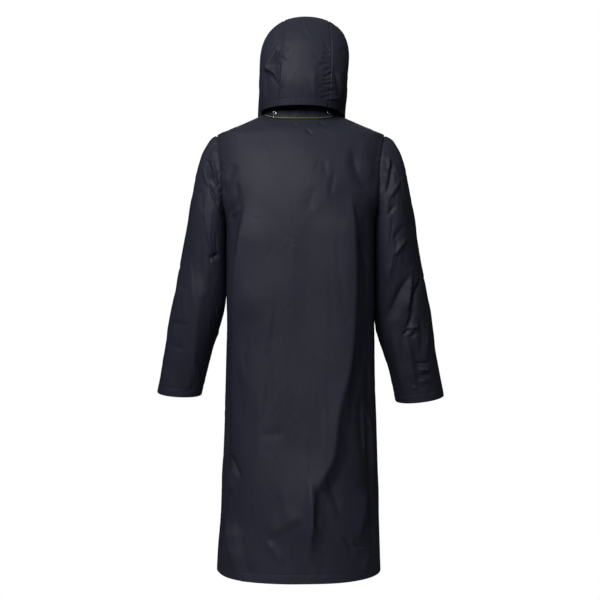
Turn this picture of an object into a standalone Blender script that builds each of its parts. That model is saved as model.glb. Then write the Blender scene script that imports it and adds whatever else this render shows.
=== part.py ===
"""Hooded raincoat, filled out as if worn: every cut piece is a thin wall of its own.

Sizes in the tables are millimetres. The wearer faces -Y, so the coat's back looks along +Y and the
wearer's left is at +X. The origin is the middle of the neck, level with the shoulder seams' inner ends.
Run it with: blender --background --python part.py
"""

import math
from collections import namedtuple

import bmesh
import bpy
import numpy as np
from mathutils import Vector

MM = 0.001

# Cloth
WALL = 1.6
SEAM_GAP = 0.3
LAP = 25.0  # the fronts and the collar pass the centre line by this much on each side
LAP_LIFT = 1.0  # the upper layer lies this far out and the lower one this far in
LAP_RAMP = 60.0

# Body: the angle around it runs from centre back (0) over the wearer's left side (90) to centre front (180)
NECK_BACK_DROP = 25.5
NECK_FRONT_DROP = 80.0
NECK_BACK_ROUND = 2.2  # higher makes the neckline flatter across its middle
NECK_FRONT_ROUND = 1.0
NECK_EASE = 0.15
SHOULDER_DROP = 63.0
UNDERARM = -295.0
HEM = -1249.0
BACK_YOKE_LEVEL = -85.0
FRONT_YOKE_LEVEL = -122.0
CHEST_LEVEL = -300.0
ARMHOLE_DEPTH_BACK = 19.0  # degrees that the armhole is cut into the back
ARMHOLE_DEPTH_FRONT = 23.0
ARMHOLE_SKEW = 0.22  # moves the deepest point of the armhole towards the underarm

TORSO_COLUMNS = ("height", "half_width", "back", "front", "shift", "power")
TORSO = (
    (0, 92, 45, 55, 0, 2.0),
    (-17, 126.5, 60, 65, 0, 2.0),
    (-27, 146.5, 70, 70, 0, 2.0),
    (-41, 175.5, 79, 76, 0, 2.05),
    (-52, 202, 86, 82, 0, 2.1),
    (-63, 229, 92, 88, 0, 2.1),
    (-80, 235, 100, 96, 0, 2.15),
    (-120, 240, 117, 116, 0, 2.25),
    (-180, 238, 133, 138, 0, 2.4),
    (-240, 226, 142, 148, 0, 2.5),
    (-295, 206, 147, 152, 0, 2.6),
    (-330, 203, 149, 153, 0, 2.6),
    (-450, 202.3, 151, 151, 0.5, 2.6),
    (-600, 202.6, 153, 153, 0.5, 2.6),
    (-800, 204.5, 162, 160, 2, 2.5),
    (-1010, 213, 182, 176, 3, 2.45),
    (-1249, 223, 203, 196, 5, 2.4),
)

# Sleeve: a row for each section, from the armhole to the cuff. The outer and inner lines are the two
# edges of the sleeve as seen from behind, depth is half its size from front to back.
SLEEVE_COLUMNS = ("along", "outer_x", "outer_z", "inner_x", "inner_z", "depth", "middle_y")
SLEEVES = {
    "left": (
        (0.0, 229, -63, 206, -295, 72, 0),
        (0.018, 241.5, -69, 205.8, -304, 75, -1),
        (0.04, 252.5, -80.5, 205.4, -314, 78, -2),
        (0.10, 273, -119, 204.6, -343, 84, -5),
        (0.20, 290.5, -189, 204.4, -391, 87, -10),
        (0.35, 311.5, -295, 205, -463, 82, -18),
        (0.50, 332, -402.5, 211, -535, 75, -28),
        (0.65, 352.5, -511, 232.5, -605.5, 70, -40),
        (0.80, 373.5, -619.5, 253, -677, 65, -53),
        (1.0, 402, -771, 279, -780, 59, -70),
    ),
    "right": (
        (0.0, 229, -63, 206, -295, 72, 0),
        (0.018, 243, -68.5, 205.8, -304, 75, -1),
        (0.04, 255.5, -80, 205.4, -314, 78, -2),
        (0.10, 277, -119, 204.6, -343, 84, -5),
        (0.20, 294.5, -189, 204.4, -391, 87, -10),
        (0.35, 313.5, -296, 204.6, -468, 82, -18),
        (0.50, 333.3, -403, 205, -545, 76, -28),
        (0.65, 353.5, -511, 216.5, -618, 73, -40),
        (0.80, 371, -621.5, 241, -693, 69, -53),
        (1.0, 400, -781, 265.5, -798, 62, -70),
    ),
}
SLEEVE_POWER = 2.2
UNDERARM_START = 0.6  # below this part of the armhole, the sleeve lies over the body beside its seam
UNDERARM_SPAN = 0.35
SLEEVE_HEAD = 0.22  # the armhole's own outline fades out over this part of the sleeve

# Collar stand
COLLAR_HEIGHT = 43.0
COLLAR_DIP = 13.0  # the collar is this much lower over the shoulder seams, so that its top edge runs smooth
COLLAR_LEAN = 7.0
COLLAR_LIFT = 0.45  # the collar's lower edge clears the body's edges by this much

# Hood: a row for each arch, from the face opening round to the lower edge at the back. crown_y and crown_z
# are on the centre line, and its feet stand at base_angle, left_out and right_out away from the neck seam.
HOOD_COLUMNS = ("along", "crown_y", "crown_z", "base_angle", "left_out", "right_out", "half_width", "dome")
HOOD = (
    (0.0, -110, 225, 151, 3.5, 3.5, 99, 88),
    (0.134, -60, 254, 133, 5, 5, 113, 98),
    (0.263, -5, 264, 116, 6.5, 9.5, 121, 109),
    (0.421, 60, 243, 102, 10, 17, 121.5, 109),
    (0.64, 110, 165, 94, 13, 24, 119, 106),
    (0.835, 119, 76, 91, 14.5, 28.5, 115, 104),
    (1.0, 107, 4.5, 90, 14.5, 29.5, 112, 100),
)
HOOD_POWER = 2.2
HOOD_FLARE = 0.45  # part of an arch's height over which it reaches its full width
HOOD_TIP = -15.0  # the crown leans towards the wearer's right
HOOD_TIP_HEIGHT = 264.0
HOOD_TIP_ROUND = 1.6
CROWN_HALF_WIDTH = 63.0
HOOD_SEAT = 0.8

# Folds that are large enough to change the form. Each runs from (x0, z0) to (x1, z1), as seen from behind
# for the back and from in front for the front. Depth is out of the cloth, and negative into it.
Fold = namedtuple("Fold", ("face", "x0", "z0", "x1", "z1", "width", "depth"))
FOLDS = (
    Fold("back", 158, -265, 196, -430, 13, -5.0),
    Fold("back", 132, -240, 150, -400, 26, 2.5),
    Fold("back", -134, -102, -208, -238, 16, -4.0),
    Fold("back", -146, -310, -150, -870, 24, 4.5),
    Fold("back", -112, -420, -108, -900, 30, -3.0),
    Fold("back", 199, -955, 166, -1010, 12, -4.5),
    Fold("back", 206, -980, 203, -1200, 14, 4.0),
    Fold("back", 195, -1130, 166, -1246, 16, -5.0),
    Fold("back", 26, -1110, 92, -1166, 13, -3.5),
    Fold("back", 92, -1166, 40, -1240, 13, -3.5),
    Fold("back", -32, -1040, -34, -1145, 14, -4.5),
    Fold("back", -56, -1010, -106, -1114, 12, 3.0),
    Fold("back", -186, -870, -205, -1026, 11, 3.5),
    Fold("front", 150, -330, 176, -520, 16, -4.5),
    Fold("front", -148, -320, -170, -560, 18, -4.5),
    Fold("front", 96, -760, 120, -1200, 26, 4.0),
    Fold("front", -100, -700, -128, -1180, 28, 4.0),
    Fold("front", 160, -1000, 140, -1246, 18, -4.5),
    Fold("front", -166, -960, -150, -1246, 18, -4.5),
)
FOLD_END = 0.3  # part of a fold's length over which it fades out at each end
FOLD_REACH = 0.35  # and how far past its ends it starts to fade
FOLD_SIDE_FADE = 0.18  # folds fade where the surface turns this near to the side seam (cosine)

# Folds of the sleeves: place along the sleeve, angle around it (0 outer line, 90 back, 180 inner line)
SleeveFold = namedtuple("SleeveFold", ("side", "along0", "around0", "along1", "around1", "width", "depth"))
SLEEVE_FOLDS = (
    SleeveFold("left", 0.05, 50, 0.24, 75, 9, -3.0),
    SleeveFold("left", 0.30, 60, 0.33, 150, 9, -4.0),
    SleeveFold("left", 0.36, 130, 0.62, 118, 13, -4.0),
    SleeveFold("left", 0.52, 40, 0.60, 120, 11, 3.0),
    SleeveFold("left", 0.80, 60, 0.84, 130, 8, -2.5),
    SleeveFold("right", 0.05, 60, 0.20, 84, 9, -3.0),
    SleeveFold("right", 0.34, 30, 0.46, 130, 13, 4.0),
    SleeveFold("right", 0.50, 60, 0.53, 150, 9, -4.0),
    SleeveFold("right", 0.60, 50, 0.66, 110, 11, -3.0),
    SleeveFold("right", 0.86, 50, 0.88, 120, 8, -3.0),
    SleeveFold("left", 0.46, 215, 0.50, 300, 12, -4.0),
    SleeveFold("left", 0.56, 220, 0.60, 310, 12, -3.0),
    SleeveFold("right", 0.45, 220, 0.50, 305, 12, -4.0),
    SleeveFold("right", 0.55, 215, 0.60, 300, 12, -3.0),
)
SLEEVE_FOLD_RADIUS = 75.0
SLEEVE_LENGTH = 600.0

# Trim
PIPING_RADIUS = 1.3
PIPING_END_LEFT = 72.0
PIPING_END_RIGHT = -62.0
PIPING_STEP = 4.0
CAP_RADIUS = 7.0
CAP_DEPTH = 2.2
CAP_SHARE = 0.33  # height of the caps' centres, as a share of the collar's
CAP_BEDDING = 0.25  # a flat cap needs this much more room on the round collar
CAP_ANGLE_LEFT = 53.0
CAP_ANGLE_RIGHT = -57.0
STUD_RADIUS = 3.6
STUD_DEPTH = 1.4
STUD_SEAT = 1.6  # just over the piping's radius
SNAP_TAPER = 0.72  # shares of a stud's radius and depth
SNAP_CROWN = 0.3
SNAP_DOME = 0.12
FRONT_SNAPS = 7
FRONT_SNAP_TOP = -125.0
FRONT_SNAP_PITCH = 125.0
SNAP_SIDES = 14

# How finely the walls are divided
SHOULDER_ROWS = 3
ARMHOLE_ROWS = 12
SIDE_ROWS = 20
BACK_COLUMNS = 24
FRONT_COLUMNS = 10
SLEEVE_RINGS = 24
RING_CROWDING = 1.5  # above 1, the sleeve's rings lie closer together near the armhole
COLLAR_ROWS = 3
HOOD_ROWS = 18
CROWN_COLUMNS = 8
HOOD_SIDE_COLUMNS = 12
ARCH_SAMPLES = 60
NORMAL_STEP = 1e-3
FOLD_STEP = 0.02

NAVY = (0.0155, 0.0167, 0.0246)
DEEP_NAVY = (0.0090, 0.0097, 0.0140)
PIPING_LIME = (0.50, 0.55, 0.18)
NICKEL = (0.55, 0.56, 0.57)


# ---------------------------------------------------------------- numbers


def smooth_step(x):
    x = np.clip(x, 0.0, 1.0)
    return x * x * (3.0 - 2.0 * x)


def unit(vectors):
    return vectors / np.linalg.norm(vectors, axis=-1, keepdims=True)


def read(columns, table, name, at):
    """The named column at places along the first one, as a smooth curve that never overshoots its rows."""
    rows = np.array(table, float)
    rows = rows[np.argsort(rows[:, 0])]
    x = rows[:, 0]
    y = rows[:, columns.index(name)]
    gaps = np.diff(x)
    rises = np.diff(y) / gaps
    slopes = np.concatenate([rises[:1], np.zeros(len(rises) - 1), rises[-1:]])
    for i in range(1, len(rises)):
        if rises[i - 1] * rises[i] > 0:
            slopes[i] = 2.0 / (1.0 / rises[i - 1] + 1.0 / rises[i])
    at = np.clip(at, x[0], x[-1])
    i = np.clip(np.searchsorted(x, at) - 1, 0, len(gaps) - 1)
    t = (at - x[i]) / gaps[i]
    return (
        y[i] * (1 + 2 * t) * (1 - t) ** 2
        + slopes[i] * gaps[i] * t * (1 - t) ** 2
        + y[i + 1] * t * t * (3 - 2 * t)
        + slopes[i + 1] * gaps[i] * t * t * (t - 1)
    )


def crease(across, along, start, end, width, depth):
    """A soft trough or ridge along a line in a plane, which fades out at its ends."""
    start = np.array(start, float)
    way = np.array(end, float) - start
    length = np.hypot(*way)
    way = way / length
    dx = across - start[0]
    dz = along - start[1]
    run = (dx * way[0] + dz * way[1]) / length
    off = dx * way[1] - dz * way[0]
    ends = smooth_step(run / FOLD_END + FOLD_REACH) * smooth_step((1.0 - run) / FOLD_END + FOLD_REACH)
    return depth * np.exp(-((off / width) ** 2)) * ends


# ---------------------------------------------------------------- body


def torso(name, height):
    return read(TORSO_COLUMNS, TORSO, name, height)


def plain_torso_point(angle, height):
    """The body without its folds, at an angle in degrees and a height."""
    turn = np.radians(angle)
    sine, cosine = np.sin(turn), np.cos(turn)
    power = torso("power", height)
    depth = np.where(cosine >= 0, torso("back", height), torso("front", height))
    reach = np.abs(cosine / depth) ** power + np.abs(sine / torso("half_width", height)) ** power
    radius = reach ** (-1.0 / power)
    x = radius * sine + torso("shift", height)
    return np.stack([x, radius * cosine, height + 0.0 * x], axis=-1)


def plain_torso_normal(angle, height):
    around = plain_torso_point(angle + NORMAL_STEP, height) - plain_torso_point(angle - NORMAL_STEP, height)
    down = plain_torso_point(angle, height - NORMAL_STEP) - plain_torso_point(angle, height + NORMAL_STEP)
    return unit(np.cross(around, down))


def torso_fold(point):
    x, y, z = np.moveaxis(point, -1, 0)
    depth = np.zeros_like(x)
    for fold in FOLDS:
        shown = (y >= 0) == (fold.face == "back")
        line = crease(x, z, (fold.x0, fold.z0), (fold.x1, fold.z1), fold.width, fold.depth)
        depth += np.where(shown, line, 0.0)
    return depth * smooth_step(np.abs(y) / np.hypot(x, y) / FOLD_SIDE_FADE)


def torso_point(angle, height):
    angle, height = np.broadcast_arrays(np.asarray(angle, float), np.asarray(height, float))
    point = plain_torso_point(angle, height)
    return point + plain_torso_normal(angle, height) * torso_fold(point)[..., None]


def torso_normal(angle, height):
    around = torso_point(angle + FOLD_STEP, height) - torso_point(angle - FOLD_STEP, height)
    down = torso_point(angle, height - FOLD_STEP) - torso_point(angle, height + FOLD_STEP)
    return unit(np.cross(around, down))


def neck_share(cosine, roundness):
    """How far the neckline has dropped, from 0 at the shoulder seam to 1 at the centre."""
    eased = (1.0 + NECK_EASE) * cosine**2 / (np.abs(cosine) + NECK_EASE)
    return 1.0 - np.clip(1.0 - eased, 0.0, 1.0) ** roundness


def neck_height(angle):
    cosine = np.cos(np.radians(angle))
    back = -NECK_BACK_DROP * neck_share(cosine, NECK_BACK_ROUND)
    front = -NECK_FRONT_DROP * neck_share(cosine, NECK_FRONT_ROUND)
    return np.where(cosine >= 0, back, front)


def armhole_steps():
    """Places down the armhole, from the shoulder seam (0) to the underarm (1)."""
    even = np.linspace(0.0, 1.0, ARMHOLE_ROWS + 1)
    return 0.5 * even + 0.25 * (1.0 - np.cos(math.pi * even))


def armhole_edge(place, deepest):
    """Angle and height of the armhole, cut in by deepest degrees."""
    cut = deepest * 2.0 * np.sqrt(np.clip(place * (1.0 - place), 0.0, 1.0))
    cut = cut * (1.0 + ARMHOLE_SKEW * (2.0 * place - 1.0))
    return 90.0 - cut, -SHOULDER_DROP + (UNDERARM + SHOULDER_DROP) * place


def panel_rows(deepest, neck_level, yoke_level):
    """For each row of a body panel: angle and height at its side edge, height at its centre, share of yoke."""
    shoulder = np.linspace(0.0, 1.0, SHOULDER_ROWS + 1)[:-1]
    armhole = armhole_steps()
    side = np.linspace(0.0, 1.0, SIDE_ROWS + 1)[1:]
    armhole_angle, armhole_height = armhole_edge(armhole, deepest)
    angle = np.concatenate([90.0 + 0 * shoulder, armhole_angle, 90.0 + 0 * side])
    edge = np.concatenate([-SHOULDER_DROP * shoulder, armhole_height, UNDERARM + (HEM - UNDERARM) * side])
    centre = np.concatenate(
        [
            neck_level + (yoke_level - neck_level) * shoulder,
            yoke_level + (CHEST_LEVEL - yoke_level) * armhole,
            CHEST_LEVEL + (HEM - CHEST_LEVEL) * side,
        ]
    )
    yoke = np.concatenate([shoulder, 1.0 + 0 * armhole, 1.0 + 0 * side])
    return angle, edge, centre, yoke


def row_heights(share, edge, centre, yoke, roundness):
    """Heights along a row, share running from 0 at the centre line to 1 at the side."""
    cosine = np.cos(0.5 * math.pi * share)
    drop = (1.0 - yoke) * neck_share(cosine, roundness) + yoke * cosine**2
    return edge + (centre - edge) * drop


def back_domain():
    rows = panel_rows(ARMHOLE_DEPTH_BACK, -NECK_BACK_DROP, BACK_YOKE_LEVEL)
    angle, edge, centre, yoke = (row[:, None] for row in rows)
    share = np.linspace(-1.0, 1.0, BACK_COLUMNS + 1)[None, :]
    return share * angle, row_heights(np.abs(share), edge, centre, yoke, NECK_BACK_ROUND)


def front_domain():
    """Angles and heights of the left front, from the side to the lapped edge past the centre line."""
    rows = panel_rows(ARMHOLE_DEPTH_FRONT, -NECK_FRONT_DROP, FRONT_YOKE_LEVEL)
    angle, edge, centre, yoke = (row[:, None] for row in rows)
    lap = np.degrees(np.arcsin(LAP / torso("front", centre)))
    even = np.linspace(0.0, 1.0, FRONT_COLUMNS + 1)[None, :]
    from_centre = angle + (lap - angle) * even
    from_centre = np.concatenate([from_centre, 0.0 * lap, -lap], axis=1)
    heights = row_heights(np.abs(from_centre / angle), edge, centre, yoke, NECK_FRONT_ROUND)
    return 180.0 - from_centre, heights


def lap_ramp(x):
    """1 where two layers lap at the centre front, fading to 0 towards the side."""
    return 1.0 - smooth_step((x - LAP) / LAP_RAMP)


# ---------------------------------------------------------------- sleeve


def sleeve(side, name, along):
    return read(SLEEVE_COLUMNS, SLEEVES[side], name, along)


def sleeve_axes(side, along):
    """Middle and half width of the section at this place."""
    middle_y = sleeve(side, "middle_y", along)
    outer, inner = (
        np.stack([sleeve(side, edge + "_x", along), middle_y, sleeve(side, edge + "_z", along)], -1)
        for edge in ("outer", "inner")
    )
    return 0.5 * (outer + inner), 0.5 * (outer - inner)


def sleeve_lean(side):
    """The depth direction at the cuff, square to the way that the lower sleeve points."""
    way = unit(sleeve_axes(side, np.array(1.0))[0] - sleeve_axes(side, np.array(0.5))[0])
    back = np.array([0.0, 1.0, 0.0])
    return unit(back - way * way[1])


def armhole_ring(around):
    """The armhole on the body's surface, at angles around it as the sleeve counts them."""
    around = np.mod(around, 360.0)
    place = 0.5 * (1.0 - np.cos(np.radians(around)))
    behind = around <= 180.0
    back_angle, height = armhole_edge(place, ARMHOLE_DEPTH_BACK)
    front_angle, _ = armhole_edge(place, ARMHOLE_DEPTH_FRONT)
    return np.where(behind, back_angle, 180.0 - front_angle), height


def plain_sleeve_point(side, along, around):
    """A sleeve without its folds, as if on the left.

    around is in degrees: 0 at the outer line, 90 behind, 180 at the inner line and 270 in front.
    """
    along, around = np.broadcast_arrays(np.asarray(along, float), np.asarray(around, float))
    turn = np.radians(around)
    middle, half = sleeve_axes(side, along)
    start_middle, start_half = sleeve_axes(side, np.array(0.0))
    reach = np.linalg.norm(start_half)
    up = start_half / reach
    out = np.cross(np.array([0.0, 1.0, 0.0]), up)
    ring = plain_torso_point(*armhole_ring(around)) - start_middle
    cosine, sine = np.cos(turn), np.sin(turn)
    round_up = np.sign(cosine) * np.abs(cosine) ** (2 / SLEEVE_POWER)
    round_back = np.sign(sine) * np.abs(sine) ** (2 / SLEEVE_POWER)
    share = smooth_step(along / SLEEVE_HEAD)
    across = (1 - share) * (ring @ up) / reach + share * round_up
    back = (1 - share) * ring[..., 1] / sleeve(side, "depth", 0.0) + share * round_back
    bulge = (1 - share) * (ring @ out)
    lean = sleeve_lean(side) * smooth_step(along)[..., None]
    depth_way = unit(lean + np.array([0.0, 1.0, 0.0]) * (1 - smooth_step(along))[..., None])
    side_way = np.cross(depth_way, unit(half))
    point = middle + half * across[..., None] + depth_way * (back * sleeve(side, "depth", along))[..., None]
    return point + side_way * bulge[..., None]


def tube_normal(surface, side, along, around):
    low, high = np.clip(along - NORMAL_STEP, 0, 1), np.clip(along + NORMAL_STEP, 0, 1)
    down = surface(side, high, around) - surface(side, low, around)
    turn = surface(side, along, around + 1.0) - surface(side, along, around - 1.0)
    return unit(np.cross(down, turn))


def sleeve_fold(side, along, around):
    depth = np.zeros(np.broadcast(along, around).shape)
    across, down = np.radians(around) * SLEEVE_FOLD_RADIUS, along * SLEEVE_LENGTH
    for fold in SLEEVE_FOLDS:
        start = (math.radians(fold.around0) * SLEEVE_FOLD_RADIUS, fold.along0 * SLEEVE_LENGTH)
        end = (math.radians(fold.around1) * SLEEVE_FOLD_RADIUS, fold.along1 * SLEEVE_LENGTH)
        if fold.side == side:
            depth += crease(across, down, start, end, fold.width, fold.depth)
    return depth


def sleeve_point(side, along, around):
    along, around = np.broadcast_arrays(np.asarray(along, float), np.asarray(around, float))
    rise = sleeve_fold(side, along, np.mod(around, 360.0))
    normal = tube_normal(plain_sleeve_point, side, along, around)
    return plain_sleeve_point(side, along, around) + normal * rise[..., None]


def sleeve_domain():
    along = np.linspace(0.0, 1.0, SLEEVE_RINGS + 1) ** RING_CROWDING
    half_round = np.degrees(np.arccos(1.0 - 2.0 * armhole_steps()))
    around = np.concatenate([half_round, 360.0 - half_round[-2::-1]])
    return along[:, None], around[None, :]


# ---------------------------------------------------------------- collar and hood


def neck_point(angle):
    return plain_torso_point(angle, neck_height(angle))


def outward(angle):
    turn = np.radians(angle)
    return np.stack([np.sin(turn), np.cos(turn), 0.0 * turn], -1)


def collar_point(angle, share):
    """A point of the collar, share running from 0 at the neck seam to 1 at its top edge."""
    rise = share * (COLLAR_HEIGHT - COLLAR_DIP * np.sin(np.radians(angle)) ** 8)
    lift = COLLAR_LIFT + rise
    lean = COLLAR_LEAN * share
    up = np.array([0.0, 0.0, 1.0])
    return neck_point(angle) + up * np.asarray(lift)[..., None] - outward(angle) * np.asarray(lean)[..., None]


def collar_normal(angle, share):
    around = collar_point(angle + 0.5, share) - collar_point(angle - 0.5, share)
    up = collar_point(angle, share + 0.05) - collar_point(angle, share)
    return unit(np.cross(up, around))


def height_on_body(angle, radius):
    """The height at which the body's surface is this far from the middle of the neck."""
    low, high = -200.0, 0.0
    for _ in range(40):
        middle = 0.5 * (low + high)
        reached = np.hypot(*plain_torso_point(np.array(angle), np.array(middle))[:2])
        if reached > radius:
            low = middle
        else:
            high = middle
    return 0.5 * (low + high)


def hood(name, along):
    return float(read(HOOD_COLUMNS, HOOD, name, along))


def hood_foot(side, along):
    """Where an arch of the hood stands on the shoulder, just clear of it, as if on the left."""
    angle = hood("base_angle", along)
    neck = neck_point(np.array(angle))
    radius = np.hypot(neck[0], neck[1]) + hood(side + "_out", along)
    height = height_on_body(angle, radius - WALL - LAP_LIFT) + HOOD_SEAT
    turn = math.radians(angle)
    return np.array([radius * math.sin(turn), radius * math.cos(turn), height])


def hood_arch(side, along):
    """Points of half an arch from its crown down to its foot, and their distances from the crown."""
    base = hood_foot(side, along)
    crown = np.array([0.0, hood("crown_y", along), hood("crown_z", along)])
    foot = np.array([0.0, base[1], base[2]])
    springing = 1.0 - hood("dome", along) / np.linalg.norm(crown - foot)
    quarter = np.linspace(0.5 * math.pi, 0.0, ARCH_SAMPLES + 1)
    dome = springing + (1 - springing) * np.sin(quarter) ** (2 / HOOD_POWER)
    rise = np.concatenate([dome, np.linspace(springing, 0.0, ARCH_SAMPLES + 1)[1:]])
    narrowing = np.concatenate([np.cos(quarter) ** (2 / HOOD_POWER), np.ones(ARCH_SAMPLES)])
    points = foot + (crown - foot) * rise[:, None]
    width = base[0] + (hood("half_width", along) - base[0]) * smooth_step(rise / HOOD_FLARE)
    points[:, 0] = width * narrowing
    lengths = np.concatenate([[0.0], np.cumsum(np.linalg.norm(np.diff(points, axis=0), axis=1))])
    return points, lengths


def along_arch(side, along, start, end, columns):
    """Points at even distances from the crown, between start and end. None is the arch's foot."""
    points, lengths = hood_arch(side, along)
    ends = [lengths[-1] if distance is None else distance for distance in (start, end)]
    distance = np.linspace(*ends, columns + 1)
    place = np.stack([np.interp(distance, lengths, points[:, axis]) for axis in range(3)], -1)
    if side == "right":
        place[:, 0] *= -1.0
    below_crown = 1.0 - np.clip(place[:, 2] / HOOD_TIP_HEIGHT, 0.0, 1.0)
    place[:, 0] += HOOD_TIP * (1.0 - below_crown**HOOD_TIP_ROUND)
    return place


def hood_grid():
    """The whole hood from its right foot over the crown to its left foot, a row for each arch."""
    rows = []
    for along in np.linspace(0.0, 1.0, HOOD_ROWS + 1):
        half = CROWN_COLUMNS // 2
        right = along_arch("right", along, None, CROWN_HALF_WIDTH, HOOD_SIDE_COLUMNS)
        crown = along_arch("right", along, CROWN_HALF_WIDTH, 0.0, half)
        crown_left = along_arch("left", along, 0.0, CROWN_HALF_WIDTH, half)
        left = along_arch("left", along, CROWN_HALF_WIDTH, None, HOOD_SIDE_COLUMNS)
        rows.append(np.concatenate([right, crown[1:], crown_left[1:], left[1:]]))
    return np.array(rows)


def grid_normals(points):
    """Outward normals of a grid whose rows run to the wearer's left and whose columns run down the back."""
    along_row = np.gradient(points, axis=1)
    down_column = np.gradient(points, axis=0)
    return unit(np.cross(along_row, down_column))


# ---------------------------------------------------------------- solids


def draw_back(points, normals, edges):
    """Moves the named edges of a grid into the cloth by half a seam gap."""
    moved = points.copy()
    lines = {
        "first_row": (np.s_[0], np.s_[1]),
        "last_row": (np.s_[-1], np.s_[-2]),
        "first_column": (np.s_[:, 0], np.s_[:, 1]),
        "last_column": (np.s_[:, -1], np.s_[:, -2]),
    }
    for edge in edges:
        here, inside = lines[edge]
        way = unit(np.cross(normals[here], np.gradient(points[here], axis=0)))
        sign = np.sign(np.sum(way * (points[inside] - points[here]), axis=-1, keepdims=True))
        moved[here] += way * sign * 0.5 * SEAM_GAP
    return moved


def wall_object(name, points, normals, material, closed=False):
    """A wall from a grid of outer points: it is laid out flat, shaped, and extruded to its inner face."""
    rows, columns = points.shape[0] - 1, points.shape[1] - 1
    mesh = bmesh.new()
    bmesh.ops.create_grid(mesh, x_segments=columns, y_segments=rows, size=0.5)
    number = mesh.verts.layers.int.new("number")
    for vertex in mesh.verts:
        row, column = round((0.5 - vertex.co.y) * rows), round((vertex.co.x + 0.5) * columns)
        vertex[number] = row * (columns + 1) + column
        vertex.co = Vector(points[row, column] * MM)
    if closed:
        bmesh.ops.remove_doubles(mesh, verts=mesh.verts, dist=1e-6)
    made = bmesh.ops.extrude_face_region(mesh, geom=mesh.faces[:])["geom"]
    for vertex in (item for item in made if isinstance(item, bmesh.types.BMVert)):
        vertex.co -= Vector(normals[divmod(vertex[number], columns + 1)] * WALL * MM)
    return finish_object(name, mesh, material)


def finish_object(name, mesh, material):
    if mesh.calc_volume(signed=True) < 0:
        bmesh.ops.reverse_faces(mesh, faces=mesh.faces)
    data = bpy.data.meshes.new(name)
    mesh.to_mesh(data)
    mesh.free()
    data.shade_smooth()
    data.set_sharp_from_angle(angle=math.radians(40))
    data.materials.append(material)
    piece = bpy.data.objects.new(name, data)
    bpy.context.scene.collection.objects.link(piece)
    return piece


def make_material(name, colour, roughness, metallic=0.0):
    material = bpy.data.materials.new(name)
    material.use_nodes = True
    shader = material.node_tree.nodes["Principled BSDF"]
    shader.inputs["Base Color"].default_value = (*colour, 1.0)
    shader.inputs["Roughness"].default_value = roughness
    shader.inputs["Metallic"].default_value = metallic
    return material


def mirrored(points):
    return points * np.array([-1.0, 1.0, 1.0])


def make_back():
    angle, height = back_domain()
    points, normals = torso_point(angle, height), torso_normal(angle, height)
    points = draw_back(points, normals, ("first_row", "first_column", "last_column"))
    wall_object("back", points, normals, make_material("back_cloth", NAVY, 0.5))


def make_front(name, sign):
    """sign is 1 for the wearer's left front, which laps over the right one."""
    angle, height = front_domain()
    points, normals = torso_point(sign * angle, height), torso_normal(sign * angle, height)
    points = draw_back(points, normals, ("first_row", "first_column"))
    lift = sign * LAP_LIFT * lap_ramp(sign * points[..., 0])
    points = points + normals * lift[..., None]
    wall_object(name, points, normals, make_material(name + "_cloth", NAVY, 0.5))


def make_sleeve(name, sign):
    along, around = sleeve_domain()
    side = "left" if sign > 0 else "right"
    points, normals = sleeve_point(side, along, around), tube_normal(sleeve_point, side, along, around)
    body_angle, body_height = armhole_ring(around[0])
    place = 0.5 - 0.5 * np.cos(np.radians(around[0]))
    under = smooth_step((place - UNDERARM_START) / UNDERARM_SPAN)[:, None]
    way = (1 - under) * unit(points[1] - points[0]) + under * plain_torso_normal(body_angle, body_height)
    points[0] += unit(way) * SEAM_GAP
    points[:, -1], normals[:, -1] = points[:, 0], normals[:, 0]
    if sign < 0:
        points, normals = mirrored(points), mirrored(normals)
    wall_object(name, points, normals, make_material(name + "_cloth", NAVY, 0.5), closed=True)


def make_collar():
    front, _ = front_domain()
    back, _ = back_domain()
    angle = np.concatenate([-front[0, ::-1], back[0, 1:-1], front[0]])[None, :]
    share = np.linspace(1.0, 0.0, COLLAR_ROWS + 1)[:, None]
    angle, share = np.broadcast_arrays(angle, share)
    points, normals = collar_point(angle, share), collar_normal(angle, share)
    x = points[..., 0]
    lift = np.where(angle > 0, lap_ramp(x), -lap_ramp(-x)) * (np.abs(angle) > 90) * LAP_LIFT
    points = points + normals * lift[..., None]
    wall_object("collar_stand", points, normals, make_material("collar_cloth", DEEP_NAVY, 0.6))


def make_hood():
    whole = hood_grid()
    normals = grid_normals(whole)
    first = HOOD_SIDE_COLUMNS
    last = first + CROWN_COLUMNS
    pieces = (
        ("hood_side_right", np.s_[:, : first + 1], ("last_column",)),
        ("hood_centre", np.s_[:, first : last + 1], ("first_column", "last_column")),
        ("hood_side_left", np.s_[:, last:], ("first_column",)),
    )
    for name, part, seams in pieces:
        points = draw_back(whole[part], normals[part], seams)
        wall_object(name, points, normals[part], make_material(name + "_cloth", NAVY, 0.5))


def piping_centre(angle):
    """The cord lies in the corner between the collar and the body, clear of both."""
    normal = plain_torso_normal(angle, neck_height(angle))
    out = outward(angle)
    facing = np.sum(normal * out, axis=-1)
    lift = SEAM_GAP + (1.0 - facing) / normal[..., 2]
    up = np.array([0.0, 0.0, 1.0])
    return neck_point(angle) + (PIPING_RADIUS + SEAM_GAP) * (out + up * lift[..., None])


def make_piping():
    route = piping_centre(np.arange(PIPING_END_RIGHT, PIPING_END_LEFT + PIPING_STEP, PIPING_STEP))
    curve = bpy.data.curves.new("neck_piping", "CURVE")
    curve.dimensions = "3D"
    curve.bevel_depth = PIPING_RADIUS * MM
    curve.bevel_resolution = 1
    curve.use_fill_caps = True
    spline = curve.splines.new("POLY")
    spline.points.add(len(route) - 1)
    for point, place in zip(spline.points, route):
        point.co = (*(place * MM), 1.0)
    curve.materials.append(make_material("piping_cord", PIPING_LIME, 0.45))
    piece = bpy.data.objects.new("neck_piping", curve)
    bpy.context.scene.collection.objects.link(piece)


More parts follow.
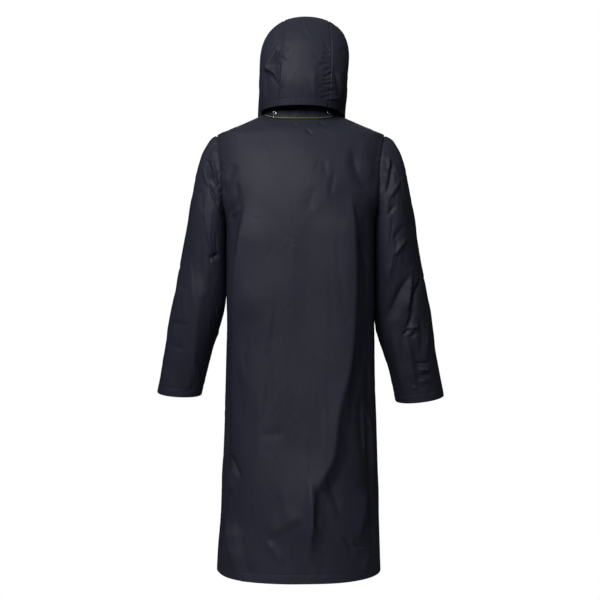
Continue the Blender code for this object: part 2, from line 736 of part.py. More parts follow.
def make_snap(name, place, normal, radius, depth, material):
    """A low domed disc whose flat underside lies a seam gap off the cloth at this place."""
    mesh = bmesh.new()
    bmesh.ops.create_cone(
        mesh,
        cap_ends=True,
        segments=SNAP_SIDES,
        radius1=radius * MM,
        radius2=SNAP_TAPER * radius * MM,
        depth=depth * MM,
    )
    top = [face for face in mesh.faces if face.normal.z > 0.99]
    bmesh.ops.inset_region(mesh, faces=top, thickness=SNAP_CROWN * radius * MM, depth=SNAP_DOME * depth * MM)
    piece = finish_object(name, mesh, material)
    piece.location = Vector((place + normal * (SEAM_GAP + 0.5 * depth)) * MM)
    piece.rotation_euler = Vector(normal).to_track_quat("Z", "Y").to_euler()


def make_neck_snaps():
    for side, angle in (("left", CAP_ANGLE_LEFT), ("right", CAP_ANGLE_RIGHT)):
        at, share = np.array(angle), np.array(CAP_SHARE)
        place, normal = collar_point(at, share), collar_normal(at, share)
        cap = make_material("snap_hood_" + side + "_metal", NICKEL, 0.3, 1.0)
        make_snap("snap_hood_" + side, place + CAP_BEDDING * normal, normal, CAP_RADIUS, CAP_DEPTH, cap)
        stud = make_material("stud_neck_" + side + "_metal", NICKEL, 0.3, 1.0)
        way = unit(outward(at) + plain_torso_normal(at, neck_height(at)))
        make_snap("stud_neck_" + side, piping_centre(at) + way * STUD_SEAT, way, STUD_RADIUS, STUD_DEPTH, stud)


def make_front_snaps():
    for number in range(FRONT_SNAPS):
        height = np.array(FRONT_SNAP_TOP - FRONT_SNAP_PITCH * number)
        at = np.array(180.0)
        normal = torso_normal(at, height)
        place = torso_point(at, height) + normal * LAP_LIFT
        name = f"snap_front_{number + 1}"
        make_snap(name, place, normal, CAP_RADIUS, CAP_DEPTH, make_material(name + "_metal", NICKEL, 0.3, 1.0))
    at, share = np.array(180.0), np.array(0.5)
    normal = collar_normal(at, share)
    place = collar_point(at, share) + normal * LAP_LIFT
    metal = make_material("snap_collar_metal", NICKEL, 0.3, 1.0)
    make_snap("snap_collar", place, normal, CAP_RADIUS, CAP_DEPTH, metal)


def main():
    for thing in list(bpy.data.objects):
        bpy.data.objects.remove(thing)
    make_back()
    make_front("front_left", 1)
    make_front("front_right", -1)
    make_sleeve("sleeve_left", 1)
    make_sleeve("sleeve_right", -1)
    make_collar()
    make_hood()
    make_piping()
    make_neck_snaps()
    make_front_snaps()


main()
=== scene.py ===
"""Hooded raincoat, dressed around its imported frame.

Sizes in the tables are millimetres. The wearer faces -Y, so the coat's back looks along +Y and the
wearer's left is at +X. Every panel is a thin shell of cloth on the form of its solid, with its creases,
seams, turned hems and stitching.
"""

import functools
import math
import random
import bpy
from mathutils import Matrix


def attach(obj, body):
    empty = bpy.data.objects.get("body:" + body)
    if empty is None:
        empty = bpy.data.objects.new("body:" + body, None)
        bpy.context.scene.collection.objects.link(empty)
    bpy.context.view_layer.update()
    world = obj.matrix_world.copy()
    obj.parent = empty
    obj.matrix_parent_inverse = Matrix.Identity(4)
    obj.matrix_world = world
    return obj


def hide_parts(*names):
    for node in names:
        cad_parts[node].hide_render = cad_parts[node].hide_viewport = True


bl_info = {
    "name": "Hooded raincoat",
    "version": (1, 0, 0),
    "blender": (4, 5, 0),
    "location": "View3D > Sidebar > Raincoat",
    "description": "Builds the cloth, trim and studio of a full-length hooded raincoat",
    "category": "Object",
}

from collections import namedtuple

import bmesh
import bpy
import numpy as np
from mathutils import Matrix, Vector

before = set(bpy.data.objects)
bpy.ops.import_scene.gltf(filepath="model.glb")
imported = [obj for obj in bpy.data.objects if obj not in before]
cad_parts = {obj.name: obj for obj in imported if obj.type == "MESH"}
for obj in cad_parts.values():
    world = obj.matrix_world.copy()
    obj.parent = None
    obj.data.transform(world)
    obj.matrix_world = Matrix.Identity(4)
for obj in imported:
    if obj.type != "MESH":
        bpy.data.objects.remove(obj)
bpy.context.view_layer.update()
MM = 0.001

# ---------------------------------------------------------------- the coat's own sizes

LAP = 25.0
LAP_LIFT = 1.0
LAP_RAMP = 60.0
NECK_BACK_DROP = 25.5
NECK_FRONT_DROP = 80.0
NECK_BACK_ROUND = 2.2
NECK_FRONT_ROUND = 1.0
NECK_EASE = 0.15
SHOULDER_DROP = 63.0
UNDERARM = -295.0
HEM = -1249.0
BACK_YOKE_LEVEL = -85.0
FRONT_YOKE_LEVEL = -122.0
CHEST_LEVEL = -300.0
ARMHOLE_DEPTH_BACK = 19.0
ARMHOLE_DEPTH_FRONT = 23.0
ARMHOLE_SKEW = 0.22

TORSO_COLUMNS = ("height", "half_width", "back", "front", "shift", "power")
TORSO = (
    (0, 92, 45, 55, 0, 2.0),
    (-17, 126.5, 60, 65, 0, 2.0),
    (-27, 146.5, 70, 70, 0, 2.0),
    (-41, 175.5, 79, 76, 0, 2.05),
    (-52, 202, 86, 82, 0, 2.1),
    (-63, 229, 92, 88, 0, 2.1),
    (-80, 235, 100, 96, 0, 2.15),
    (-120, 240, 117, 116, 0, 2.25),
    (-180, 238, 133, 138, 0, 2.4),
    (-240, 226, 142, 148, 0, 2.5),
    (-295, 206, 147, 152, 0, 2.6),
    (-330, 203, 149, 153, 0, 2.6),
    (-450, 202.3, 151, 151, 0.5, 2.6),
    (-600, 202.6, 153, 153, 0.5, 2.6),
    (-800, 204.5, 162, 160, 2, 2.5),
    (-1010, 213, 182, 176, 3, 2.45),
    (-1249, 223, 203, 196, 5, 2.4),
)

SLEEVE_COLUMNS = ("along", "outer_x", "outer_z", "inner_x", "inner_z", "depth", "middle_y")
SLEEVES = {
    "left": (
        (0.0, 229, -63, 206, -295, 72, 0),
        (0.018, 241.5, -69, 205.8, -304, 75, -1),
        (0.04, 252.5, -80.5, 205.4, -314, 78, -2),
        (0.10, 273, -119, 204.6, -343, 84, -5),
        (0.20, 290.5, -189, 204.4, -391, 87, -10),
        (0.35, 311.5, -295, 205, -463, 82, -18),
        (0.50, 332, -402.5, 211, -535, 75, -28),
        (0.65, 352.5, -511, 232.5, -605.5, 70, -40),
        (0.80, 373.5, -619.5, 253, -677, 65, -53),
        (1.0, 402, -771, 279, -780, 59, -70),
    ),
    "right": (
        (0.0, 229, -63, 206, -295, 72, 0),
        (0.018, 243, -68.5, 205.8, -304, 75, -1),
        (0.04, 255.5, -80, 205.4, -314, 78, -2),
        (0.10, 277, -119, 204.6, -343, 84, -5),
        (0.20, 294.5, -189, 204.4, -391, 87, -10),
        (0.35, 313.5, -296, 204.6, -468, 82, -18),
        (0.50, 333.3, -403, 205, -545, 76, -28),
        (0.65, 353.5, -511, 216.5, -618, 73, -40),
        (0.80, 371, -621.5, 241, -693, 69, -53),
        (1.0, 400, -781, 265.5, -798, 62, -70),
    ),
}
SLEEVE_POWER = 2.2
SLEEVE_HEAD = 0.22

COLLAR_HEIGHT = 43.0
COLLAR_DIP = 13.0
COLLAR_LEAN = 7.0

HOOD_COLUMNS = ("along", "crown_y", "crown_z", "base_angle", "left_out", "right_out", "half_width", "dome")
HOOD = (
    (0.0, -110, 225, 151, 3.5, 3.5, 99, 88),
    (0.134, -60, 254, 133, 5, 5, 113, 98),
    (0.263, -5, 264, 116, 6.5, 9.5, 121, 109),
    (0.421, 60, 243, 102, 10, 17, 121.5, 109),
    (0.64, 110, 165, 94, 13, 24, 119, 106),
    (0.835, 119, 76, 91, 14.5, 28.5, 115, 104),
    (1.0, 107, 4.5, 90, 14.5, 29.5, 112, 100),
)
HOOD_POWER = 2.2
HOOD_FLARE = 0.45
HOOD_TIP = -15.0
HOOD_TIP_HEIGHT = 264.0
HOOD_TIP_ROUND = 1.6
CROWN_HALF_WIDTH = 63.0
HOOD_SEAT = 0.8
FRAME_WALL = 1.6

PIPING_RADIUS = 1.3
COLLAR_TURN = 5.5  # the stand runs on this far under the neck edge of the body
TURN_STEEPER = 5.0  # and leans in this much more steeply there
PIPING_SLIM = 0.8  # the cord is slimmer than the room kept for it
PIPING_GAP = 0.3
PIPING_ENDS = (-62.0, 72.0)
CAP_RADIUS = 7.0
CAP_DEPTH = 2.2
CAP_SHARE = 0.33
CAP_BEDDING = 0.25
COLLAR_LIFT = 0.45  # the studs of the collar sit this much higher than its own height gives
CAP_ANGLES = {"left": 53.0, "right": -57.0}
STUD_RADIUS = 3.6
STUD_DEPTH = 1.4
STUD_SEAT = 1.6
FRONT_SNAPS = 7
FRONT_SNAP_TOP = -125.0
FRONT_SNAP_PITCH = 125.0

ARM_LEAVES = -560.0  # height where the arms part from the body

# ---------------------------------------------------------------- creases

# Each face's creases, a row for each: its depth, out of the cloth or, where negative, into it; how far it
# reaches to the left and to the right of its path, as that face is looked at; and the path itself.

BODY_FOLDS = {
    "back": (
        # left underarm
        (4.5, 12, 14, ((177, -322), (192, -380), (202, -432))),
        (19, 17, 110, ((149, -236), (151, -300), (160, -383), (168, -436), (175, -501), (178, -620))),
        (-11, 14, 22, ((188, -236), (188, -330), (192, -400), (196, -500))),
        (-4, 15, 15, ((171, -192), (170, -240), (194, -294))),
        (-3.5, 19, 19, ((173, -148), (196, -196))),
        (3.5, 13, 13, ((153, -266), (196, -296))),
        (-5.5, 8, 10, ((216, -192), (207, -214), (209, -238))),
        (4, 17, 42, ((179, -472), (179, -568), (181, -662), (187, -782))),
        # right shoulder blade and the long fold under it
        (-8, 26, 42, ((-133, -98), (-153, -190), (-178, -218), (-196, -250))),
        (2.5, 34, 34, ((-162, -80), (-193, -200))),
        (21, 120, 38, ((-134, -215), (-136, -290), (-137, -462), (-134, -600), (-122, -700), (-102, -780),
            (-90, -844), (-85, -923), (-59, -975), (-32, -1020), (-27, -1146), (-11, -1225))),
        (-9, 34, 20, ((-178, -520), (-184, -700), (-187, -900), (-190, -1040), (-192, -1230))),
        (-7.5, 17, 12, ((-143, -342), (-166, -390), (-199, -452))),
        (-1.8, 10, 10, ((-143, -258), (-150, -308))),
        # small creases over the back
        (-1.8, 13, 13, ((-90, -166), (-77, -246))),
        (-1.4, 13, 13, ((-56, -138), (-72, -196))),
        (-1.9, 29, 29, ((-41, -208), (-14, -288))),
        (-1.9, 8, 8, ((-14, -54), (-30, -76))),
        (-2, 8, 8, ((-46, -32), (-67, -48))),
        (-1.4, 8, 8, ((21, -40), (8, -54))),
        (1, 5, 5, ((30, -344), (0, -346))),
        (1, 5, 5, ((30, -360), (7, -360))),
        # left of the skirt
        (11, 15, 70, ((202, -1080), (184, -1160), (168, -1226), (140, -1262))),
        (-8, 10, 16, ((196, -700), (197, -860), (200, -1000), (203, -1110))),
        (-8, 13, 10, ((190, -920), (175, -954), (155, -990))),
        (6, 10, 19, ((199, -954), (189, -994), (178, -1030))),
        (7.5, 17, 52, ((189, -1098), (186, -1162), (156, -1220))),
        (-7.5, 19, 19, ((207, -1120), (202, -1192))),
        (1.2, 5, 5, ((186, -1104), (211, -1112))),
        # middle of the skirt
        (5.5, 63, 17, ((-16, -1068), (28, -1090), (94, -1136))),
        (5.5, 17, 17, ((93, -1134), (67, -1168), (38, -1202))),
        (8, 34, 13, ((-22, -990), (-31, -1072), (-31, -1108), (-20, -1176))),
        (-8, 13, 21, ((-37, -988), (-44, -1034), (-40, -1114))),
        (6, 10, 13, ((-50, -998), (-71, -1040), (-100, -1088))),
        (-5.5, 10, 25, ((-64, -968), (-76, -998), (-104, -1068))),
        (-1.8, 25, 25, ((36, -860), (115, -872))),
        (1.8, 21, 21, ((-9, -834), (-13, -988))),
        # right of the skirt
        (-7.5, 29, 10, ((-161, -758), (-168, -936))),
        (8, 8, 13, ((-174, -776), (-194, -860), (-200, -1020))),
        (7.5, 42, 13, ((-181, -996), (-168, -1082), (-147, -1156))),
        (-5.5, 10, 10, ((-190, -1166), (-131, -1152))),
        (-5.5, 8, 10, ((-108, -1126), (-142, -1176))),
        (5.5, 21, 8, ((-187, -1180), (-162, -1232))),
    ),
    "front": (
        # the fronts
        (-5.5, 21, 25, ((150, -250), (158, -330), (176, -500))),
        (4, 17, 25, ((186, -290), (190, -400), (196, -470))),
        (-5.5, 23, 23, ((-146, -236), (-156, -330), (-172, -540))),
        (-3.5, 17, 17, ((-178, -170), (-160, -226))),
        (-3.5, 17, 17, ((176, -160), (158, -214))),
        (2.5, 19, 19, ((92, -180), (120, -300))),
        (-2, 17, 17, ((-80, -210), (-112, -330))),
        (5.5, 55, 34, ((96, -640), (108, -900), (124, -1190))),
        (-4, 19, 19, ((70, -860), (76, -1100))),
        (5.5, 38, 55, ((-104, -600), (-112, -860), (-132, -1180))),
        (-4, 17, 17, ((-66, -960), (-80, -1190))),
        (-5.5, 17, 17, ((160, -960), (150, -1130), (140, -1240))),
        (-5.5, 19, 15, ((-170, -930), (-160, -1100), (-148, -1240))),
        (4, 15, 15, ((186, -980), (180, -1120))),
        (3.5, 15, 15, ((-192, -1010), (-184, -1150))),
    ),
    "left": (
        # the sides
        (-4, 19, 19, ((30, -420), (16, -640))),
        (4, 29, 29, ((-40, -700), (-30, -1120))),
        (-4, 17, 17, ((60, -900), (70, -1180))),
    ),
    "right": (
        (-4, 19, 19, ((-20, -430), (-6, -660))),
        (4, 29, 29, ((36, -720), (28, -1130))),
        (-4, 17, 17, ((-64, -880), (-70, -1170))),
    ),
}

SLEEVE_FOLDS = {
    "back": (
        # left sleeve, from the shoulder down
        (-8, 12, 8, ((258, -126), (244, -164), (234, -203))),
        (6, 8, 8, ((241, -117), (234, -164), (224, -217))),
        (-6.5, 10, 8, ((248, -200), (235, -233), (218, -267))),
        (5, 10, 8, ((265, -144), (256, -179), (247, -214))),
        (-3, 14, 14, ((271, -206), (268, -246), (263, -277))),
        (3, 5, 5, ((225, -114), (245, -117))),
        (-8, 6, 14, ((220, -387), (234, -396), (253, -403))),
        (11.5, 94, 46, ((250, -399), (268, -484), (279, -544), (290, -641), (301, -718), (309, -775))),
        (-1.5, 10, 10, ((300, -484), (340, -473))),
        (-2, 10, 10, ((297, -583), (358, -575))),
        (-1.5, 10, 10, ((319, -649), (360, -639))),
        (-3, 5, 5, ((302, -746), (298, -771))),
        (-2, 5, 5, ((312, -755), (310, -775))),
        # right sleeve
        (6.5, 5, 6, ((-237, -122), (-238, -167))),
        (-8.5, 8, 12, ((-247, -137), (-243, -186), (-228, -230))),
        (6, 12, 12, ((-268, -191), (-236, -244))),
        (-5, 10, 10, ((-255, -258), (-232, -287))),
        (-3, 14, 14, ((-279, -309), (-246, -361))),
        (6, 14, 14, ((-287, -344), (-250, -398))),
        (-10, 20, 34, ((-300, -441), (-268, -493), (-246, -541), (-225, -585))),
        (10, 27, 6, ((-302, -441), (-294, -514), (-289, -558))),
        (-8, 6, 14, ((-304, -482), (-306, -532), (-296, -575), (-280, -610))),
        (-8, 6, 10, ((-331, -454), (-309, -498), (-298, -547))),
        (6, 6, 6, ((-325, -586), (-294, -591))),
        (-8, 6, 6, ((-300, -594), (-277, -610))),
        (-5, 8, 8, ((-319, -603), (-295, -619))),
        (8, 23, 14, ((-280, -610), (-294, -637), (-303, -679), (-308, -717), (-318, -760))),
        (6, 20, 42, ((-246, -586), (-265, -680), (-284, -775))),
        (-5, 10, 6, ((-361, -688), (-311, -689))),
        (6, 6, 6, ((-362, -707), (-319, -705))),
        (-4.5, 6, 6, ((-358, -722), (-321, -721))),
        (4.5, 6, 6, ((-351, -738), (-324, -737))),
        (-3, 6, 6, ((-347, -754), (-318, -755))),
        (5, 5, 5, ((-305, -752), (-321, -761))),
    ),
    "front": (
        # fronts of the sleeves, where the elbow bends
        (-8, 10, 12, ((222, -430), (270, -404), (306, -398))),
        (6, 10, 10, ((226, -452), (276, -430), (318, -424))),
        (-6.5, 8, 12, ((236, -486), (284, -462), (326, -462))),
        (-6, 10, 10, ((246, -170), (240, -230))),
        (5, 12, 12, ((262, -160), (252, -226))),
        (6, 63, 42, ((270, -520), (292, -640), (312, -770))),
        (-3, 8, 8, ((306, -700), (360, -696))),
        (-8, 10, 12, ((-220, -450), (-266, -420), (-306, -410))),
        (6, 10, 10, ((-228, -476), (-270, -448), (-316, -440))),
        (-6.5, 8, 12, ((-232, -512), (-278, -484), (-330, -478))),
        (-6, 10, 10, ((-248, -160), (-238, -222))),
        (5, 12, 12, ((-264, -150), (-250, -220))),
        (6, 42, 63, ((-262, -540), (-286, -660), (-304, -780))),
        (-3, 8, 8, ((-300, -712), (-352, -706))),
    ),
    "left": (
        # outer sides of the sleeves
        (-5, 14, 14, ((10, -130), (-4, -260))),
        (-5, 10, 10, ((-60, -440), (-10, -420))),
        (3, 15, 15, ((-30, -480), (-50, -640))),
    ),
    "right": (
        (-5, 14, 14, ((14, -140), (-6, -270))),
        (-5, 10, 10, ((-66, -470), (-8, -452))),
        (3, 15, 15, ((-34, -500), (-56, -660))),
    ),
}

HOOD_FOLDS = {
    "back": (
        (12, 12, 30, ((56, 178), (74, 134), (94, 106), (70, 94), (60, 74), (49, 44))),
        (-9, 24, 6, ((60, 166), (59, 110), (54, 50))),
        # the centre strip is gathered into its right-hand seam
        (-3, 5, 4, ((-62, 168), (-80, 147))),
        (-3, 4, 5, ((-58, 144), (-80, 138))),
        (-3, 5, 4, ((-54, 131), (-83, 124))),
        (-3, 4, 4, ((-46, 111), (-80, 116))),
        (-3.5, 4, 5, ((-58, 92), (-83, 104))),
        (-3.5, 6, 4, ((-56, 74), (-88, 93))),
        (-3, 4, 4, ((-54, 67), (-80, 73))),
        (-3, 5, 4, ((-50, 57), (-92, 63))),
        (-2.5, 4, 5, ((-44, 54), (-72, 44))),
        (-3, 4, 5, ((-52, 36), (-92, 47))),
        (-2.5, 5, 4, ((-50, 23), (-76, 29))),
        (-2.5, 13, 13, ((47, 162), (33, 149))),
        (2.5, 6, 6, ((55, 146), (37, 123))),
        (-1.8, 6, 6, ((51, 133), (34, 119))),
        (4, 17, 13, ((-93, 103), (-107, 74), (-115, 34))),
        (-4, 10, 15, ((-87, 114), (-99, 64), (-106, 22))),
        (2.5, 6, 8, ((-68, 21), (-116, 30))),
        (2.5, 25, 17, ((-40, 114), (-34, 68), (-38, 7))),
        (-2.5, 10, 13, ((94, 100), (91, 16))),
    ),
    "left": (
        (-4, 19, 19, ((40, 40), (20, 120), (-10, 170))),
        (-1.5, 25, 25, ((0, 20), (-20, 90))),
        (-2.5, 13, 13, ((-50, 60), (-62, 140))),
    ),
    "right": (
        (-4, 19, 19, ((44, 30), (24, 100), (-4, 160))),
        (1.5, 25, 25, ((4, 16), (-14, 84))),
        (-2.5, 13, 13, ((-48, 50), (-64, 130))),
    ),
    "front": (
        (-1.8, 17, 17, ((30, 236), (36, 256))),
    ),
}

COLLAR_FOLDS = {
    "back": (
        (-1.6, 15, 15, ((34, 16), (28, -22))),
        (1.4, 17, 17, ((6, 18), (10, -22))),
        (-1.4, 13, 13, ((-24, 14), (-18, -20))),
    ),
}

FOLD_FADE = 0.32  # part of a crease's length over which it fades at each end
LONGEST_FADE = 130.0  # and the most that this comes to on a long crease
CREST = 0.9  # how round the tip of a crease is
NARROWEST = 0.12  # part of a crease's width that is left at its very ends

# ---------------------------------------------------------------- numbers


def smooth_step(x):
    x = np.clip(x, 0.0, 1.0)
    return x * x * (3.0 - 2.0 * x)


def unit(vectors):
    return vectors / np.maximum(np.linalg.norm(vectors, axis=-1, keepdims=True), 1e-12)


def linear(code):
    """A colour's sRGB hex value as the linear light that Blender's sockets hold."""
    parts = [int(code[i : i + 2], 16) / 255.0 for i in (1, 3, 5)]
    return tuple(c / 12.92 if c <= 0.04045 else ((c + 0.055) / 1.055) ** 2.4 for c in parts)


def read(columns, table, name, at):
    """The named column at places along the first one, as a smooth curve that never overshoots its rows."""
    rows = np.array(table, float)
    rows = rows[np.argsort(rows[:, 0])]
    x = rows[:, 0]
    y = rows[:, columns.index(name)]
    gaps = np.diff(x)
    rises = np.diff(y) / gaps
    slopes = np.concatenate([rises[:1], np.zeros(len(rises) - 1), rises[-1:]])
    for i in range(1, len(rises)):
        if rises[i - 1] * rises[i] > 0:
            slopes[i] = 2.0 / (1.0 / rises[i - 1] + 1.0 / rises[i])
    at = np.clip(at, x[0], x[-1])
    i = np.clip(np.searchsorted(x, at) - 1, 0, len(gaps) - 1)
    t = (at - x[i]) / gaps[i]
    return (
        y[i] * (1 + 2 * t) * (1 - t) ** 2
        + slopes[i] * gaps[i] * t * (1 - t) ** 2
        + y[i + 1] * t * t * (3 - 2 * t)
        + slopes[i + 1] * gaps[i] * t * t * (t - 1)
    )


EDGE_MARKS = (0.0, 0.7, 1.6, 3.0, 5.0, 8.0)
LINE_MARKS = (-2.4, -1.1, 0.0, 1.1, 2.4)
CLOSEST_MARKS = 0.45


def spread(length, step, start_lines=(), end_lines=()):
    """Distances along a line: close together at both ends and at each stitched line, step apart between."""
    marks = list(EDGE_MARKS) + [length - mark for mark in EDGE_MARKS]
    for line in start_lines:
        marks += [line + mark for mark in LINE_MARKS]
    for line in end_lines:
        marks += [length - line + mark for mark in LINE_MARKS]
    marks = sorted(mark for mark in marks if 0.0 <= mark <= length)
    placed = [0.0]
    for mark in marks[1:]:
        start, gap = placed[-1], mark - placed[-1]
        if gap < CLOSEST_MARKS:
            continue
        parts = max(1, math.ceil(gap / step))
        placed += [start + gap * (i + 1) / parts for i in range(parts)]
    return np.array(placed)


def fitted(places, nominal, lengths, kept=45.0):
    """Distances for lines of other lengths: the same near both ends, and stretched between."""
    places = places[:, None]
    middle = kept + (places - kept) * (lengths - 2 * kept) / (nominal - 2 * kept)
    near_end = lengths - (nominal - places)
    return np.where(places <= kept, places, np.where(places >= nominal - kept, near_end, middle))


def distances(points, axis):
    """How far each point of a grid lies along its line."""
    steps = np.linalg.norm(np.diff(points, axis=axis), axis=-1)
    start = np.zeros_like(np.take(steps, [0], axis=axis))
    return np.concatenate([start, np.cumsum(steps, axis=axis)], axis=axis)


def grid_normals(points, closed=False):
    """Unit normals of a grid of points, joined round its rows where it is closed."""
    if closed:
        points = np.concatenate([points[:, -2:-1], points, points[:, 1:2]], axis=1)
    normals = unit(np.cross(np.gradient(points, axis=1), np.gradient(points, axis=0)))
    return normals[:, 1:-1] if closed else normals


def turned_out(normals, away):
    return normals if np.sum(normals * away) > 0 else -normals


# ---------------------------------------------------------------- form of the body


def torso(name, height):
    return read(TORSO_COLUMNS, TORSO, name, height)


def torso_point(angle, height):
    """The body at an angle in degrees, from centre back over the wearer's left, and a height."""
    angle, height = np.broadcast_arrays(np.asarray(angle, float), np.asarray(height, float))
    turn = np.radians(angle)
    sine, cosine = np.sin(turn), np.cos(turn)
    power = torso("power", height)
    depth = np.where(cosine >= 0, torso("back", height), torso("front", height))
    reach = np.abs(cosine / depth) ** power + np.abs(sine / torso("half_width", height)) ** power
    radius = reach ** (-1.0 / power)
    return np.stack([radius * sine + torso("shift", height), radius * cosine, height + 0.0 * sine], axis=-1)


def torso_normal(angle, height, step=1e-3):
    around = torso_point(angle + step, height) - torso_point(angle - step, height)
    down = torso_point(angle, height - step) - torso_point(angle, height + step)
    return unit(np.cross(around, down))


def neck_share(cosine, roundness):
    eased = (1.0 + NECK_EASE) * cosine**2 / (np.abs(cosine) + NECK_EASE)
    return 1.0 - np.clip(1.0 - eased, 0.0, 1.0) ** roundness


def neck_height(angle):
    cosine = np.cos(np.radians(angle))
    back = -NECK_BACK_DROP * neck_share(cosine, NECK_BACK_ROUND)
    front = -NECK_FRONT_DROP * neck_share(cosine, NECK_FRONT_ROUND)
    return np.where(cosine >= 0, back, front)


def armhole_edge(place, deepest):
    cut = deepest * 2.0 * np.sqrt(np.clip(place * (1.0 - place), 0.0, 1.0))
    cut = cut * (1.0 + ARMHOLE_SKEW * (2.0 * place - 1.0))
    return 90.0 - cut, -SHOULDER_DROP + (UNDERARM + SHOULDER_DROP) * place


SHOULDER_LENGTH = 150.0
ARMHOLE_LENGTH = 245.0
SIDE_LENGTH = 954.0
BACK_HALF_WIDTH = 305.0
FRONT_WIDTH = 350.0


def panel_rows(deepest, neck_level, yoke_level, step, hem_line):
    """For each row of a body panel: the angle and height at its side edge, the height at its centre, how far
    it lies past the yoke, and 1 where its edge is the armhole."""
    shoulder = spread(SHOULDER_LENGTH, step)[:-1] / SHOULDER_LENGTH
    even = spread(ARMHOLE_LENGTH, step) / ARMHOLE_LENGTH
    armhole = 0.5 * even + 0.25 * (1.0 - np.cos(math.pi * even))
    side = spread(SIDE_LENGTH, 1.25 * step, end_lines=(hem_line,))[1:] / SIDE_LENGTH
    armhole_angle, armhole_height = armhole_edge(armhole, deepest)
    angle = np.concatenate([90.0 + 0 * shoulder, armhole_angle, 90.0 + 0 * side])
    edge = np.concatenate([-SHOULDER_DROP * shoulder, armhole_height, UNDERARM + (HEM - UNDERARM) * side])
    centre = np.concatenate(
        [
            neck_level + (yoke_level - neck_level) * shoulder,
            yoke_level + (CHEST_LEVEL - yoke_level) * armhole,
            CHEST_LEVEL + (HEM - CHEST_LEVEL) * side,
        ]
    )
    yoke = np.concatenate([shoulder, 1.0 + 0 * armhole, 1.0 + 0 * side])
    in_armhole = np.concatenate([0.0 * shoulder, 1.0 + 0 * armhole, 0.0 * side])
    return tuple(row[:, None] for row in (angle, edge, centre, yoke, in_armhole))


def row_heights(share, edge, centre, yoke, roundness):
    cosine = np.cos(0.5 * math.pi * share)
    drop = (1.0 - yoke) * neck_share(cosine, roundness) + yoke * cosine**2
    return edge + (centre - edge) * drop


def lap_ramp(x):
    return 1.0 - smooth_step((x - LAP) / LAP_RAMP)


# ---------------------------------------------------------------- form of the sleeves


def sleeve(side, name, along):
    return read(SLEEVE_COLUMNS, SLEEVES[side], name, along)


def sleeve_axes(side, along):
    middle_y = sleeve(side, "middle_y", along)
    outer, inner = (
        np.stack([sleeve(side, edge + "_x", along), middle_y, sleeve(side, edge + "_z", along)], -1)
        for edge in ("outer", "inner")
    )
    return 0.5 * (outer + inner), 0.5 * (outer - inner)


def armhole_ring(around):
    around = np.mod(around, 360.0)
    place = 0.5 * (1.0 - np.cos(np.radians(around)))
    behind = around <= 180.0
    back_angle, height = armhole_edge(place, ARMHOLE_DEPTH_BACK)
    front_angle, _ = armhole_edge(place, ARMHOLE_DEPTH_FRONT)
    return np.where(behind, back_angle, 180.0 - front_angle), height


def sleeve_point(side, along, around):
    """A sleeve as if on the left; around is 0 at the outer line, 90 behind, 180 inside and 270 in front."""
    along, around = np.broadcast_arrays(np.asarray(along, float), np.asarray(around, float))
    turn = np.radians(around)
    middle, half = sleeve_axes(side, along)
    start_middle, start_half = sleeve_axes(side, np.array(0.0))
    reach = np.linalg.norm(start_half)
    up = start_half / reach
    back_way = np.array([0.0, 1.0, 0.0])
    ring = torso_point(*armhole_ring(around)) - start_middle
    cosine, sine = np.cos(turn), np.sin(turn)
    round_up = np.sign(cosine) * np.abs(cosine) ** (2 / SLEEVE_POWER)
    round_back = np.sign(sine) * np.abs(sine) ** (2 / SLEEVE_POWER)
    share = smooth_step(along / SLEEVE_HEAD)
    across = (1 - share) * (ring @ up) / reach + share * round_up
    back = (1 - share) * ring[..., 1] / sleeve(side, "depth", 0.0) + share * round_back
    bulge = (1 - share) * (ring @ np.cross(back_way, up))
    way = unit(sleeve_axes(side, np.array(1.0))[0] - sleeve_axes(side, np.array(0.5))[0])
    lean = unit(back_way - way * way[1]) * smooth_step(along)[..., None]
    depth_way = unit(lean + back_way * (1 - smooth_step(along))[..., None])
    side_way = np.cross(depth_way, unit(half))
    point = middle + half * across[..., None] + depth_way * (back * sleeve(side, "depth", along))[..., None]
    return point + side_way * bulge[..., None]


# ---------------------------------------------------------------- form of the collar and hood


def neck_point(angle):
    return torso_point(angle, neck_height(angle))


def outward(angle):
    turn = np.radians(angle)
    return np.stack([np.sin(turn), np.cos(turn), 0.0 * turn], -1)


def collar_point(angle, share, lift=0.0):
    rise = lift + share * (COLLAR_HEIGHT - COLLAR_DIP * np.sin(np.radians(angle)) ** 8)
    lean = COLLAR_LEAN * np.maximum(share, -TURN_STEEPER * share)
    up = np.array([0.0, 0.0, 1.0])
    return neck_point(angle) + up * np.asarray(rise)[..., None] - outward(angle) * np.asarray(lean)[..., None]


def collar_normal(angle, share):
    around = collar_point(angle + 0.5, share) - collar_point(angle - 0.5, share)
    up = collar_point(angle, share + 0.05) - collar_point(angle, share)
    return unit(np.cross(up, around))


def height_on_body(angle, radius):
    low, high = -200.0, 0.0
    for _ in range(24):
        middle = 0.5 * (low + high)
        if np.hypot(*torso_point(angle, middle)[:2]) > radius:
            low = middle
        else:
            high = middle
    return 0.5 * (low + high)


def hood(name, along):
    return float(read(HOOD_COLUMNS, HOOD, name, along))


